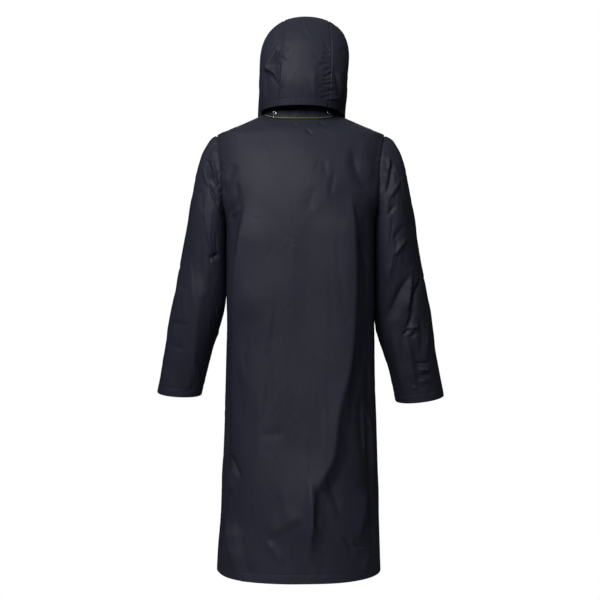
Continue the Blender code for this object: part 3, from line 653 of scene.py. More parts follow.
@functools.lru_cache(maxsize=None)
def hood_arch(side, along):
    """Points of half an arch from its crown to its foot on the shoulder, and their distances."""
    angle = hood("base_angle", along)
    neck = neck_point(np.array(angle))
    radius = np.hypot(neck[0], neck[1]) + hood(side + "_out", along)
    foot_height = height_on_body(angle, radius - FRAME_WALL - LAP_LIFT) + HOOD_SEAT
    turn = math.radians(angle)
    crown = np.array([0.0, hood("crown_y", along), hood("crown_z", along)])
    foot = np.array([0.0, radius * math.cos(turn), foot_height])
    foot_x = radius * math.sin(turn)
    springing = 1.0 - hood("dome", along) / np.linalg.norm(crown - foot)
    quarter = np.linspace(0.5 * math.pi, 0.0, 301)
    dome = springing + (1 - springing) * np.sin(quarter) ** (2 / HOOD_POWER)
    rise = np.concatenate([dome, np.linspace(springing, 0.0, 101)[1:]])
    narrowing = np.concatenate([np.cos(quarter) ** (2 / HOOD_POWER), np.ones(100)])
    points = foot + (crown - foot) * rise[:, None]
    width = foot_x + (hood("half_width", along) - foot_x) * smooth_step(rise / HOOD_FLARE)
    points[:, 0] = width * narrowing
    if side == "right":
        points[:, 0] *= -1.0
    below_crown = 1.0 - np.clip(points[:, 2] / HOOD_TIP_HEIGHT, 0.0, 1.0)
    lengths = np.concatenate([[0.0], np.cumsum(np.linalg.norm(np.diff(points, axis=0), axis=1))])
    points[:, 0] += HOOD_TIP * (1.0 - below_crown**HOOD_TIP_ROUND)
    return points, lengths


HOOD_GRID = 2.5
HOOD_LENGTH = 470.0
HOOD_SIDE_WIDTH = 260.0
HOOD_STITCH = 6.0  # from a seam of the hood to the stitches beside it
ARCHES = 180
SEAM_DRIFT = 15.0  # how far the right seam of the hood creeps out towards its lower edge


def hood_panel(part, step, hem_line):
    """Grid of one panel of the hood: rows from the face to the lower edge, columns to the wearer's left."""
    if part == "centre":
        width = 2 * CROWN_HALF_WIDTH
        places = spread(width, step, start_lines=(HOOD_STITCH,), end_lines=(HOOD_STITCH,)) / width
    else:
        places = spread(HOOD_SIDE_WIDTH, step, start_lines=(HOOD_STITCH,)) / HOOD_SIDE_WIDTH
    rows = []
    for along in np.linspace(0.0, 1.0, ARCHES):
        left, left_lengths = hood_arch("left", along)
        right, right_lengths = hood_arch("right", along)
        right_seam = CROWN_HALF_WIDTH + SEAM_DRIFT * smooth_step((along - 0.3) / 0.5)
        if part == "centre":
            points = np.concatenate([right[::-1], left[1:]])
            lengths = np.concatenate([-right_lengths[::-1], left_lengths[1:]])
            at = (CROWN_HALF_WIDTH + right_seam) * places - right_seam
        elif part == "left":
            points, lengths = left, left_lengths
            at = CROWN_HALF_WIDTH + (lengths[-1] - CROWN_HALF_WIDTH) * places
        else:
            points, lengths = right, right_lengths
            at = (right_seam + (lengths[-1] - right_seam) * places)[::-1]
        rows.append(np.stack([np.interp(at, lengths, points[:, axis]) for axis in range(3)], -1))
    dense = np.array(rows)
    down = distances(dense, 0)
    at = fitted(spread(HOOD_LENGTH, step, (hem_line,), (hem_line,)), HOOD_LENGTH, down[-1])
    columns = [
        np.stack([np.interp(at[:, i], down[:, i], dense[:, i, axis]) for axis in range(3)], -1)
        for i in range(dense.shape[1])
    ]
    return np.stack(columns, axis=1)


# ---------------------------------------------------------------- creases and puckers

FACES = {  # coordinate and sign that grow towards the left as the face is looked at, and the way it faces
    "back": (0, 1.0, (0.0, 1.0, 0.0)),
    "front": (0, -1.0, (0.0, -1.0, 0.0)),
    "left": (1, -1.0, (1.0, 0.0, 0.0)),
    "right": (1, 1.0, (-1.0, 0.0, 0.0)),
}


def rounded_path(path):
    """A path with its corners cut twice, so that the crease runs in a soft line."""
    points = np.array(path, float)
    for _ in range(2):
        if len(points) < 3:
            break
        first, second = points[:-1], points[1:]
        cut = np.stack([0.75 * first + 0.25 * second, 0.25 * first + 0.75 * second], 1).reshape(-1, 2)
        points = np.concatenate([points[:1], cut[1:-1], points[-1:]])
    return points


def flanks(off, left, right):
    """A crease across its run: two nearly flat flanks that meet at a crisp line and run out softly."""
    width = np.where(off > 0, left, right)
    share = np.clip(1.0 - (np.sqrt(off**2 + CREST**2) - CREST) / width, 0.0, 1.0)
    return 0.3 * share + 0.7 * share**2


def fold_rise(folds, points, normals):
    """How far the creases lift each point along its normal, in millimetres."""
    flat, facing = points.reshape(-1, 3), normals.reshape(-1, 3)
    rise = np.zeros(len(flat))
    rows = [(face, *row) for face, creases in folds.items() for row in creases]
    for face, depth, left, right, path in rows:
        axis, sign, way = FACES[face]
        path = rounded_path([(sign * u, v) for u, v in path])
        seen = smooth_step((facing @ np.array(way) - 0.08) / 0.35)
        u, v = sign * flat[:, axis], flat[:, 2]
        reach = max(left, right)
        low, high = path.min(axis=0) - reach, path.max(axis=0) + reach
        near = np.nonzero((seen > 0) & (u > low[0]) & (u < high[0]) & (v > low[1]) & (v < high[1]))[0]
        if not len(near):
            continue
        place = np.stack([u[near], v[near]], -1)
        steps = np.diff(path, axis=0)
        lengths = np.linalg.norm(steps, axis=1)
        starts = np.concatenate([[0.0], np.cumsum(lengths)])
        best = np.full(len(near), 1e9)
        off = np.zeros(len(near))
        run = np.zeros(len(near))
        for i, step in enumerate(steps):
            from_start = place - path[i]
            t = np.clip(from_start @ step / lengths[i] ** 2, 0.0, 1.0)
            gap = np.linalg.norm(from_start - t[:, None] * step, axis=1)
            cross = (step[0] * from_start[:, 1] - step[1] * from_start[:, 0]) / lengths[i]
            closer = gap < best
            best = np.where(closer, gap, best)
            off = np.where(closer, np.sign(cross) * gap, off)
            run = np.where(closer, (starts[i] + t * lengths[i]) / starts[-1], run)
        fade = min(FOLD_FADE, LONGEST_FADE / starts[-1])
        ends = smooth_step(run / fade) * smooth_step((1.0 - run) / fade)
        narrowed = NARROWEST + (1.0 - NARROWEST) * np.sqrt(ends)
        height = flanks(off, left * narrowed, right * narrowed)
        rise[near] += depth * height * ends * seen[near]
    return rise.reshape(points.shape[:-1])


def swell(points, seed, height, count=14):
    """A slow unevenness of the cloth that runs on from panel to panel."""
    draw = random.Random(seed)
    rise = np.zeros(points.shape[:-1])
    for _ in range(count):
        across = draw.uniform(80.0, 230.0)
        down = draw.uniform(200.0, 620.0)
        turn = draw.uniform(0.0, 2.0 * math.pi)
        wave = np.array([math.cos(turn) / across, math.sin(turn) / across, draw.choice((-1, 1)) / down])
        rise += np.sin(2.0 * math.pi * (points @ wave + draw.random()))
    return rise * height / math.sqrt(count)


Scatter = namedtuple("Scatter", ("spacing", "shortest", "longest", "narrow", "wide", "height", "lean"))
DRAPE = Scatter(150.0, 140.0, 420.0, 10.0, 64.0, 3.4, 13.0)
BODY_CREASES = Scatter(64.0, 24.0, 80.0, 4.0, 16.0, 0.7, 40.0)
SLEEVE_DRAPE = Scatter(66.0, 55.0, 170.0, 7.0, 32.0, 3.0, 36.0)
SLEEVE_CREASES = Scatter(40.0, 20.0, 60.0, 3.0, 10.0, 1.2, 60.0)
HOOD_DRAPE = Scatter(62.0, 36.0, 110.0, 6.0, 26.0, 1.3, 45.0)
ARMHOLE_GATHERS = Scatter(17.0, 24.0, 80.0, 4.0, 11.0, 3.6, 24.0)

SWELL_SEEDS = {"body": 11, "sleeves": 23, "collar": 41, "hood": 53}
CREASE_SEEDS = {
    "back": 3, "front_left": 5, "front_right": 7, "sleeve_left": 31, "sleeve_right": 37,
    "hood_left": 59, "hood_centre": 61, "hood_right": 67,
}
CALM_ENDS = 40.0  # scattered creases fade out over this distance at the ends of a panel
CALM_SIDES = 16.0  # and over this one at the sewn sides of the body
ARMHOLE_CALM = 9.0  # beside an armhole every lift of the body's cloth fades out over this distance
SLACK_FROM = 300.0  # below the chest the cloth hangs looser
SLACK_OVER = 500.0
HEM_STEP = 3.0  # distance over which a hem's second layer of cloth comes in


def scatter(kind, across, down, seed):
    """Creases of one kind scattered over a panel: uneven in length, width, height and lean from upright."""
    draw = random.Random(seed)
    u, v = across.ravel(), down.ravel()
    rise = np.zeros(len(u))
    low_u, high_u, low_v, high_v = u.min(), u.max(), v.min(), v.max()
    for _ in range(int((high_u - low_u) * (high_v - low_v) / kind.spacing**2)):
        middle_u, middle_v = draw.uniform(low_u, high_u), draw.uniform(low_v, high_v)
        turn = math.radians(90.0 + draw.uniform(-kind.lean, kind.lean))
        half = 0.5 * draw.uniform(kind.shortest, kind.longest)
        limits = (kind.wide, 0.4 * (kind.narrow + kind.wide))
        widths = [draw.uniform(kind.narrow, widest) for widest in limits]
        draw.shuffle(widths)
        height = kind.height * draw.uniform(0.3, 1.0) * draw.choice((-1.0, 1.0))
        bow = draw.uniform(-0.25, 0.25)
        reach = half + max(widths)
        near = np.nonzero((np.abs(u - middle_u) < reach) & (np.abs(v - middle_v) < reach))[0]
        du, dv = u[near] - middle_u, v[near] - middle_v
        run = (du * math.cos(turn) + dv * math.sin(turn)) / half
        off = dv * math.cos(turn) - du * math.sin(turn) + bow * half * (run * run - 0.5)
        rise[near] += height * flanks(off, *widths) * smooth_step(1.25 * (1.0 - np.abs(run)))
    return rise.reshape(across.shape)


def pressed(rise, points, normals, way, out):
    """Where the arm lies against the body, its cloth is pressed flat and the gap between them closes."""
    touching = smooth_step((normals[..., 0] * way - 0.7) / 0.2)
    touching = touching * smooth_step((UNDERARM + 20.0 - points[..., 2]) / 30.0)
    touching = touching * smooth_step((points[..., 2] - ARM_LEAVES) / 40.0)
    return rise * (1.0 - touching) + out * touching


def seam_rise(distance, roll, width=1.8):
    """The cloth turns in at a seam, and its allowance lifts it a little just beside that."""
    return -roll * np.exp(-((distance / width) ** 2)) + 0.35 * np.exp(-(((distance - 6.0) / 4.0) ** 2))


def pucker(distance, run, pitch, height, reach, seed=0.0):
    """Short ripples that a seam's thread draws into the cloth beside it."""
    phase = 2.0 * math.pi * run / pitch + 2.2 * np.sin(2.0 * math.pi * run / (5.7 * pitch) + seed)
    strength = 0.55 + 0.45 * np.sin(2.0 * math.pi * run / (8.3 * pitch) + 2.1 * seed + 1.0)
    lean = 0.6 * np.sin(2.0 * math.pi * run / (6.1 * pitch)) * distance / pitch
    ripple = 1.0 - 2.0 * np.abs(np.sin(0.5 * (phase + lean)))
    return height * ripple * strength * np.exp(-distance / reach) * (1.0 - 0.6 * np.exp(-distance / 2.0))


def stitch_groove(distance, line, depth=0.55, width=1.5):
    return -depth * np.exp(-(((distance - line) / width) ** 2))


def edge_round(distance, radius):
    """How far a turned edge's face draws in, for its distance from the edge."""
    inside = np.clip(radius - distance, 0.0, radius)
    return radius - np.sqrt(radius**2 - inside**2)


# ---------------------------------------------------------------- settings


class RaincoatSizes(bpy.types.PropertyGroup):
    """Sizes of the cloth and the sewing"""

    cloth: bpy.props.FloatProperty(
        name="Cloth", description="Thickness of the coated cloth", default=0.9 * MM, unit="LENGTH"
    )
    turned_edge: bpy.props.FloatProperty(
        name="Turned edge", description="Thickness of a hem of three layers", default=2.4 * MM, unit="LENGTH"
    )
    hem: bpy.props.FloatProperty(
        name="Hem", description="Depth of the turned hem and cuffs", default=24.0 * MM, unit="LENGTH"
    )
    hood_hem: bpy.props.FloatProperty(
        name="Hood hem", description="Depth of the turned edges of the hood", default=18.0 * MM, unit="LENGTH"
    )
    grid: bpy.props.FloatProperty(
        name="Grid", description="Spacing of the mesh of the panels", default=4.0 * MM, unit="LENGTH"
    )
    stitch: bpy.props.FloatProperty(
        name="Stitch", description="Length of a stitch with its gap", default=3.4 * MM, unit="LENGTH"
    )
    thread: bpy.props.FloatProperty(
        name="Thread", description="Thickness of the sewing thread", default=0.5 * MM, unit="LENGTH"
    )
    weave: bpy.props.FloatProperty(
        name="Weave", description="Spacing of the drawn threads of the cloth", default=0.8 * MM, unit="LENGTH"
    )


class RaincoatColours(bpy.types.PropertyGroup):
    """Colours of the coat"""

    cloth: bpy.props.FloatVectorProperty(
        name="Cloth", description="Coated side of the cloth", subtype="COLOR", default=linear("#2a2c39")
    )
    cloth_light: bpy.props.FloatVectorProperty(
        name="Cloth, light", description="Paler patches of the coating", subtype="COLOR",
        default=linear("#303240"),
    )
    lining_side: bpy.props.FloatVectorProperty(
        name="Inside", description="Inner side of the cloth", subtype="COLOR", default=linear("#191a22")
    )
    thread: bpy.props.FloatVectorProperty(
        name="Thread", description="Sewing thread", subtype="COLOR", default=linear("#15161d")
    )
    piping: bpy.props.FloatVectorProperty(
        name="Piping", description="Cord in the collar seam", subtype="COLOR", default=linear("#8f9a52")
    )
    metal: bpy.props.FloatVectorProperty(
        name="Studs", description="Plated press studs", subtype="COLOR", default=linear("#c9ccd0")
    )
    floor: bpy.props.FloatVectorProperty(
        name="Floor", description="Floor of the studio", subtype="COLOR", default=linear("#f4f4f4")
    )


def sizes():
    return bpy.context.scene.raincoat_sizes


def colours():
    return bpy.context.scene.raincoat_colours


# ---------------------------------------------------------------- materials


def add_node(tree, kind, inputs=None, **settings):
    """Adds a node with its settings. An input is a constant, or a socket to link."""
    made = tree.nodes.new(kind)
    for name, value in settings.items():
        setattr(made, name, value)
    for key, value in (inputs or {}).items():
        if isinstance(value, bpy.types.NodeSocket):
            tree.links.new(value, made.inputs[key])
        else:
            made.inputs[key].default_value = value
    return made


def new_material(name):
    """An empty node material and its shader, or None for the shader where the material is already made."""
    if name in bpy.data.materials:
        return bpy.data.materials[name], None
    material = bpy.data.materials.new(name)
    material.use_nodes = True
    return material, material.node_tree.nodes["Principled BSDF"]


GLOSS_RANGE = 0.02  # how far the crinkles of the coating change its roughness either way


def cloth_material(name, dark, light, roughness, weave_depth):
    """Plain-woven polyester with a thin coating: a fine grid of threads under a soft, crinkled sheen."""
    material, shader = new_material(name)
    if shader is None:
        return material
    tree = material.node_tree
    metres = add_node(tree, "ShaderNodeUVMap", uv_map="cloth").outputs["UV"]
    turns = 2.0 * math.pi / sizes().weave
    threads = add_node(
        tree, "ShaderNodeVectorMath", {0: metres, 1: (turns, turns, 0.0)}, operation="MULTIPLY"
    ).outputs[0]
    split = add_node(tree, "ShaderNodeSeparateXYZ", {0: threads})
    warp = add_node(tree, "ShaderNodeMath", {0: split.outputs["X"]}, operation="SINE").outputs[0]
    weft = add_node(tree, "ShaderNodeMath", {0: split.outputs["Y"]}, operation="SINE").outputs[0]
    weave = add_node(tree, "ShaderNodeMath", {0: warp, 1: weft}, operation="MULTIPLY").outputs[0]
    # Thick and thin yarns of the warp show as faint streaks down the cloth, about 2 mm wide.
    stretched = add_node(
        tree, "ShaderNodeVectorMath", {0: metres, 1: (420.0, 9.0, 1.0)}, operation="MULTIPLY"
    ).outputs[0]
    streak = add_node(tree, "ShaderNodeTexNoise", {"Vector": stretched, "Scale": 1.0, "Detail": 2.0})
    # The coating crinkles in patches of about 12 mm, and its shade drifts over about 150 mm.
    crinkle = add_node(
        tree, "ShaderNodeTexNoise", {"Vector": metres, "Scale": 85.0, "Detail": 4.0, "Roughness": 0.55}
    )
    drift = add_node(tree, "ShaderNodeTexNoise", {"Vector": metres, "Scale": 6.5, "Detail": 2.0})
    blend = add_node(
        tree, "ShaderNodeMath", {0: streak.outputs["Fac"], 1: drift.outputs["Fac"]}, operation="ADD"
    ).outputs[0]
    part = add_node(tree, "ShaderNodeMapRange", {0: blend, 1: 0.7, 2: 1.3}).outputs[0]
    colour = add_node(
        tree, "ShaderNodeMix", {"Factor": part, 6: (*dark, 1.0), 7: (*light, 1.0)}, data_type="RGBA"
    ).outputs[2]
    gloss = add_node(
        tree,
        "ShaderNodeMapRange",
        {0: crinkle.outputs["Fac"], 1: 0.3, 2: 0.7, 3: roughness - GLOSS_RANGE, 4: roughness + GLOSS_RANGE},
    ).outputs[0]
    grain = add_node(
        tree, "ShaderNodeBump", {"Height": weave, "Strength": 0.5, "Distance": weave_depth}
    ).outputs[0]
    surface = add_node(
        tree,
        "ShaderNodeBump",
        {"Height": crinkle.outputs["Fac"], "Strength": 0.35, "Distance": 0.4 * MM, "Normal": grain},
    ).outputs[0]
    for socket, value in (("Base Color", colour), ("Roughness", gloss), ("Normal", surface)):
        tree.links.new(value, shader.inputs[socket])
    shader.inputs["Specular IOR Level"].default_value = 0.25
    return material


def shell_material():
    tone = colours()
    return cloth_material("coated_polyester_plain_weave", tone.cloth, tone.cloth_light, 0.55, 0.05 * MM)


def inner_material():
    tone = colours()
    shade = tone.lining_side
    return cloth_material("uncoated_polyester_inner_side", shade, shade, 0.62, 0.09 * MM)


def thread_material():
    """Spun polyester thread: matt, with the twist of its plies, and painted shade darkening the grooves
    between them.
    """
    material, shader = new_material("spun_polyester_thread")
    if shader is None:
        return material
    tree = material.node_tree
    tone = tuple(colours().thread)
    place = add_node(tree, "ShaderNodeTexCoord").outputs["Object"]
    twist = add_node(
        tree,
        "ShaderNodeTexWave",
        {"Vector": place, "Scale": 420.0, "Distortion": 1.2},
        bands_direction="DIAGONAL",
    )
    # Painted shade: the colour drops to 0.7 of the thread's tone in the same grooves that the bump below
    # sinks.
    colour = add_node(
        tree,
        "ShaderNodeMix",
        {"Factor": twist.outputs["Fac"], 6: (*(0.7 * c for c in tone), 1.0), 7: (*tone, 1.0)},
        data_type="RGBA",
    ).outputs[2]
    relief = add_node(
        tree, "ShaderNodeBump", {"Height": twist.outputs["Fac"], "Strength": 0.5, "Distance": 0.08 * MM}
    ).outputs[0]
    tree.links.new(colour, shader.inputs["Base Color"])
    tree.links.new(relief, shader.inputs["Normal"])
    shader.inputs["Roughness"].default_value = 0.65
    return material


def piping_material():
    """Woven satin tape around a cord: yellow-green, with a soft sheen along it."""
    material, shader = new_material("satin_piping_tape")
    if shader is None:
        return material
    tree = material.node_tree
    metres = add_node(tree, "ShaderNodeUVMap", uv_map="cloth").outputs["UV"]
    ribs = add_node(
        tree, "ShaderNodeTexWave", {"Vector": metres, "Scale": 520.0, "Distortion": 0.4}, bands_direction="X"
    )
    soil = add_node(tree, "ShaderNodeTexNoise", {"Vector": metres, "Scale": 140.0, "Detail": 3.0})
    tone = tuple(colours().piping)
    colour = add_node(
        tree,
        "ShaderNodeMix",
        {"Factor": soil.outputs["Fac"], 6: (*(0.72 * c for c in tone), 1.0), 7: (*tone, 1.0)},
        data_type="RGBA",
    ).outputs[2]
    relief = add_node(
        tree, "ShaderNodeBump", {"Height": ribs.outputs["Fac"], "Strength": 0.4, "Distance": 0.06 * MM}
    ).outputs[0]
    tree.links.new(colour, shader.inputs["Base Color"])
    tree.links.new(relief, shader.inputs["Normal"])
    shader.inputs["Roughness"].default_value = 0.38
    shader.inputs["Sheen Weight"].default_value = 0.2
    return material


def stud_material():
    """Nickel-plated brass, stamped and barrel-polished: bright, with a faint orange-peel and fine scuffs."""
    material, shader = new_material("nickel_plated_brass_stamped")
    if shader is None:
        return material
    tree = material.node_tree
    place = add_node(tree, "ShaderNodeTexCoord").outputs["Object"]
    peel = add_node(tree, "ShaderNodeTexNoise", {"Vector": place, "Scale": 900.0, "Detail": 2.0})
    scuff = add_node(
        tree, "ShaderNodeTexNoise", {"Vector": place, "Scale": 350.0, "Detail": 6.0, "Roughness": 0.7}
    )
    gloss = add_node(
        tree, "ShaderNodeMapRange", {0: scuff.outputs["Fac"], 1: 0.35, 2: 0.7, 3: 0.16, 4: 0.34}
    ).outputs[0]
    relief = add_node(
        tree, "ShaderNodeBump", {"Height": peel.outputs["Fac"], "Strength": 0.25, "Distance": 0.05 * MM}
    ).outputs[0]
    tree.links.new(gloss, shader.inputs["Roughness"])
    tree.links.new(relief, shader.inputs["Normal"])
    shader.inputs["Base Color"].default_value = (*colours().metal, 1.0)
    shader.inputs["Metallic"].default_value = 1.0
    return material


def floor_material():
    """Matt white painted board with a faint roller texture."""
    material, shader = new_material("matt_white_painted_board")
    if shader is None:
        return material
    tree = material.node_tree
    place = add_node(tree, "ShaderNodeTexCoord").outputs["Object"]
    roller = add_node(tree, "ShaderNodeTexNoise", {"Vector": place, "Scale": 120.0, "Detail": 3.0})
    relief = add_node(
        tree, "ShaderNodeBump", {"Height": roller.outputs["Fac"], "Strength": 0.1, "Distance": 0.3 * MM}
    ).outputs[0]
    tree.links.new(relief, shader.inputs["Normal"])
    shader.inputs["Base Color"].default_value = (*colours().floor, 1.0)
    shader.inputs["Roughness"].default_value = 0.9
    return material


# ---------------------------------------------------------------- pieces


SHARP_ANGLE = math.radians(55)


def finish_piece(name, mesh, materials, node=None):
    """Makes the mesh an object that rides on the coat, smooth but for its sharp edges."""
    if mesh.calc_volume(signed=True) < 0:
        bmesh.ops.reverse_faces(mesh, faces=mesh.faces)
    data = bpy.data.meshes.new(name)
    mesh.to_mesh(data)
    mesh.free()
    data.shade_smooth()
    data.set_sharp_from_angle(angle=SHARP_ANGLE)
    for material in materials:
        data.materials.append(material)
    piece = bpy.data.objects.new(name, data)
    bpy.context.scene.collection.objects.link(piece)
    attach(piece, "root")
    if node:
        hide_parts(node)
    return piece


def cloth_wall(name, outer, normals, wall, pattern, node, slot="shell_cloth", closed=False):
    """A shell of cloth from a grid of outer points: laid flat, shaped, and extruded to its inner side."""
    rows, columns = outer.shape[0] - 1, outer.shape[1] - 1
    mesh = bmesh.new()
    bmesh.ops.create_grid(mesh, x_segments=columns, y_segments=rows, size=0.5)
    number = mesh.verts.layers.int.new("number")
    cloth = mesh.loops.layers.uv.new("cloth")
    flat = (outer * MM).reshape(-1, 3)
    for vertex in mesh.verts:
        row, column = round((0.5 - vertex.co.y) * rows), round((vertex.co.x + 0.5) * columns)
        vertex[number] = row * (columns + 1) + column
        vertex.co = flat[vertex[number]]
    places = (pattern * MM).reshape(-1, 2)
    for face in mesh.faces:
        for loop in face.loops:
            loop[cloth].uv = places[loop.vert[number]]
    if closed:
        bmesh.ops.remove_doubles(mesh, verts=mesh.verts, dist=1e-7)
    made = bmesh.ops.extrude_face_region(mesh, geom=mesh.faces[:])["geom"]
    inward = (normals * wall[..., None] * MM).reshape(-1, 3)
    for item in made:
        if isinstance(item, bmesh.types.BMVert):
            item.co -= Vector(inward[item[number]])
        elif isinstance(item, bmesh.types.BMFace):
            item.material_index = 1
    return finish_piece(name, mesh, (shell_material(), inner_material()), node)


def pattern_of(across, down):
    """Where each point lies in the cloth, in millimetres across and down from the panel's middle line."""
    return np.stack([across - 0.5 * across[:, -1:], down], -1)


def sewn(name, lines):
    """Stitches along lines of points, each line with its normals, as one piece."""
    pitch, thick = sizes().stitch / MM, sizes().thread / MM
    mesh = bmesh.new()
    for points, normals in lines:
        lengths = np.concatenate([[0.0], np.cumsum(np.linalg.norm(np.diff(points, axis=0), axis=1))])
        middles = np.arange(0.5 * pitch + 1.0, lengths[-1] - 1.0, pitch)
        for middle in middles:
            ends = [
                np.array([np.interp(middle + reach, lengths, points[:, axis]) for axis in range(3)])
                for reach in (-0.42 * pitch, 0.42 * pitch)
            ]
            up = unit(np.array([np.interp(middle, lengths, normals[:, axis]) for axis in range(3)]))
            way = ends[1] - ends[0]
            span = np.linalg.norm(way)
            way = way / span
            side = unit(np.cross(up, way))
            up = np.cross(way, side)
            place = 0.5 * (ends[0] + ends[1]) + 0.22 * thick * up
            matrix = Matrix.Identity(4)
            spans = ((way, 0.5 * span), (side, 0.5 * thick), (up, 0.42 * thick))
            for axis, (vector, size) in enumerate(spans):
                for row in range(3):
                    matrix[row][axis] = vector[row] * size * MM
            matrix.translation = Vector(place * MM)
            bmesh.ops.create_icosphere(mesh, subdivisions=1, radius=1.0, matrix=matrix)
    return finish_piece(name, mesh, (thread_material(),))


def nearest(row, place):
    return int(np.argmin(np.abs(row - place)))


def hemmed_share(distance, line):
    """1 where the cloth lies double under a turned edge, and 0 away from it."""
    return smooth_step((line - distance) / HEM_STEP)


def hem_rise(distance, run, line, step, pitch, height, reach, seed, depth=0.55):
    """A hem's second layer lifts the cloth a little, and its stitches sink into it and ripple it."""
    lifted = step * smooth_step((line + 0.5 * HEM_STEP - distance) / HEM_STEP)
    ripple = pucker(np.abs(distance - line), run, pitch, height, reach, seed)
    return lifted + stitch_groove(distance, line, depth) + ripple


def shaped(points, normals, rise, free, hemmed, layers=1.0, rounding=0.45, shift=0.0, closed=False):
    """A panel's outer points, the way that each of them faces, and the cloth's wall there.

    Free is the distance from the nearest free edge, and hemmed is 1 where the cloth lies double. Layers is
    how thick it is there and rounding is its edge's radius, both as shares of the turned edge's thickness.
    """
    cloth, edge = sizes().cloth / MM, sizes().turned_edge / MM
    drawn_in = edge_round(free, rounding * edge)
    outer = points + normals * (rise - drawn_in)[..., None] + shift
    if closed:
        outer[:, -1] = outer[:, 0]
    outward_way = turned_out(grid_normals(outer, closed), normals)
    if closed:
        outward_way[:, -1] = outward_way[:, 0]
    wall = cloth + (layers * edge - cloth) * hemmed - 2.0 * drawn_in
    return outer, outward_way, wall


def body_rise(points, normals, across, down, sides, armhole, seed, hem_line):
    """How far a body panel's folds, creases, sewn sides, neck seam and hem lift it."""
    rise = fold_rise(BODY_FOLDS, points, normals)
    rise += swell(points, SWELL_SEEDS["body"], 1.1)
    to_hem = down[-1:] - down
    calm = smooth_step(to_hem / CALM_ENDS) * smooth_step(down / CALM_ENDS)
    for edge in sides:
        calm = calm * smooth_step(edge / CALM_SIDES)
    slack = 0.3 + 0.7 * smooth_step((down - SLACK_FROM) / SLACK_OVER)
    rise += calm * slack * scatter(DRAPE, across, down, seed)
    rise += calm * scatter(BODY_CREASES, across, down, seed + 1)
    for way in (1.0, -1.0):
        rise = pressed(rise, points, normals, way, 0.5)
    for edge in sides:
        rise *= 1.0 - armhole * (1.0 - smooth_step(edge / ARMHOLE_CALM))
        rise += seam_rise(edge, 1.5 + armhole)
        height, reach = 0.5 + 0.7 * armhole, 12.0 + 6.0 * armhole
        rise += pucker(edge, down, pitch=15.0, height=height, reach=reach, seed=seed)
    rise += seam_rise(down, 0.8, 2.0)
    return rise + hem_rise(to_hem, across, hem_line, step=0.2, pitch=13.0, height=0.75, reach=14.0, seed=0.4)


class RAINCOAT_OT_back(bpy.types.Operator):
    """Builds the back panel, from the collar seam to the hem"""

    bl_idname = "raincoat.back"
    bl_label = "Back panel"

    def execute(self, context):
        grid, hem_line = sizes().grid / MM, sizes().hem / MM
        rows = panel_rows(ARMHOLE_DEPTH_BACK, -NECK_BACK_DROP, BACK_YOKE_LEVEL, grid, hem_line)
        angle, edge, centre, yoke, in_armhole = rows
        half = spread(BACK_HALF_WIDTH, 1.12 * grid)
        half = half[half < BACK_HALF_WIDTH - EDGE_MARKS[-1]]
        share = 1.0 - half / BACK_HALF_WIDTH
        share = np.concatenate([-share, [0.0], share[::-1]])[None, :]
        heights = row_heights(np.abs(share), edge, centre, yoke, NECK_BACK_ROUND)
        points, normals = torso_point(share * angle, heights), torso_normal(share * angle, heights)
        across, down = distances(points, 1), distances(points, 0)
        to_hem = down[-1:] - down
        sides = [across, across[:, -1:] - across]
        rise = body_rise(points, normals, across, down, sides, in_armhole, CREASE_SEEDS["back"], hem_line)
        grids = shaped(points, normals, rise, to_hem, hemmed_share(to_hem, hem_line))
        outer, outward_way = grids[:2]
        panel = cloth_wall("back_panel", *grids, pattern_of(across, down), "back")
        line = nearest(to_hem[:, to_hem.shape[1] // 2], hem_line)
        stitches = sewn("back_hem_stitches", [(outer[line], outward_way[line])])
        return {"FINISHED"}


FRONT_STITCH = 4.0  # from the front edge to the stitches along it
FLAP_STITCH = 2.0 * LAP + 6.0  # and to the stitches that hold the facing of the left front


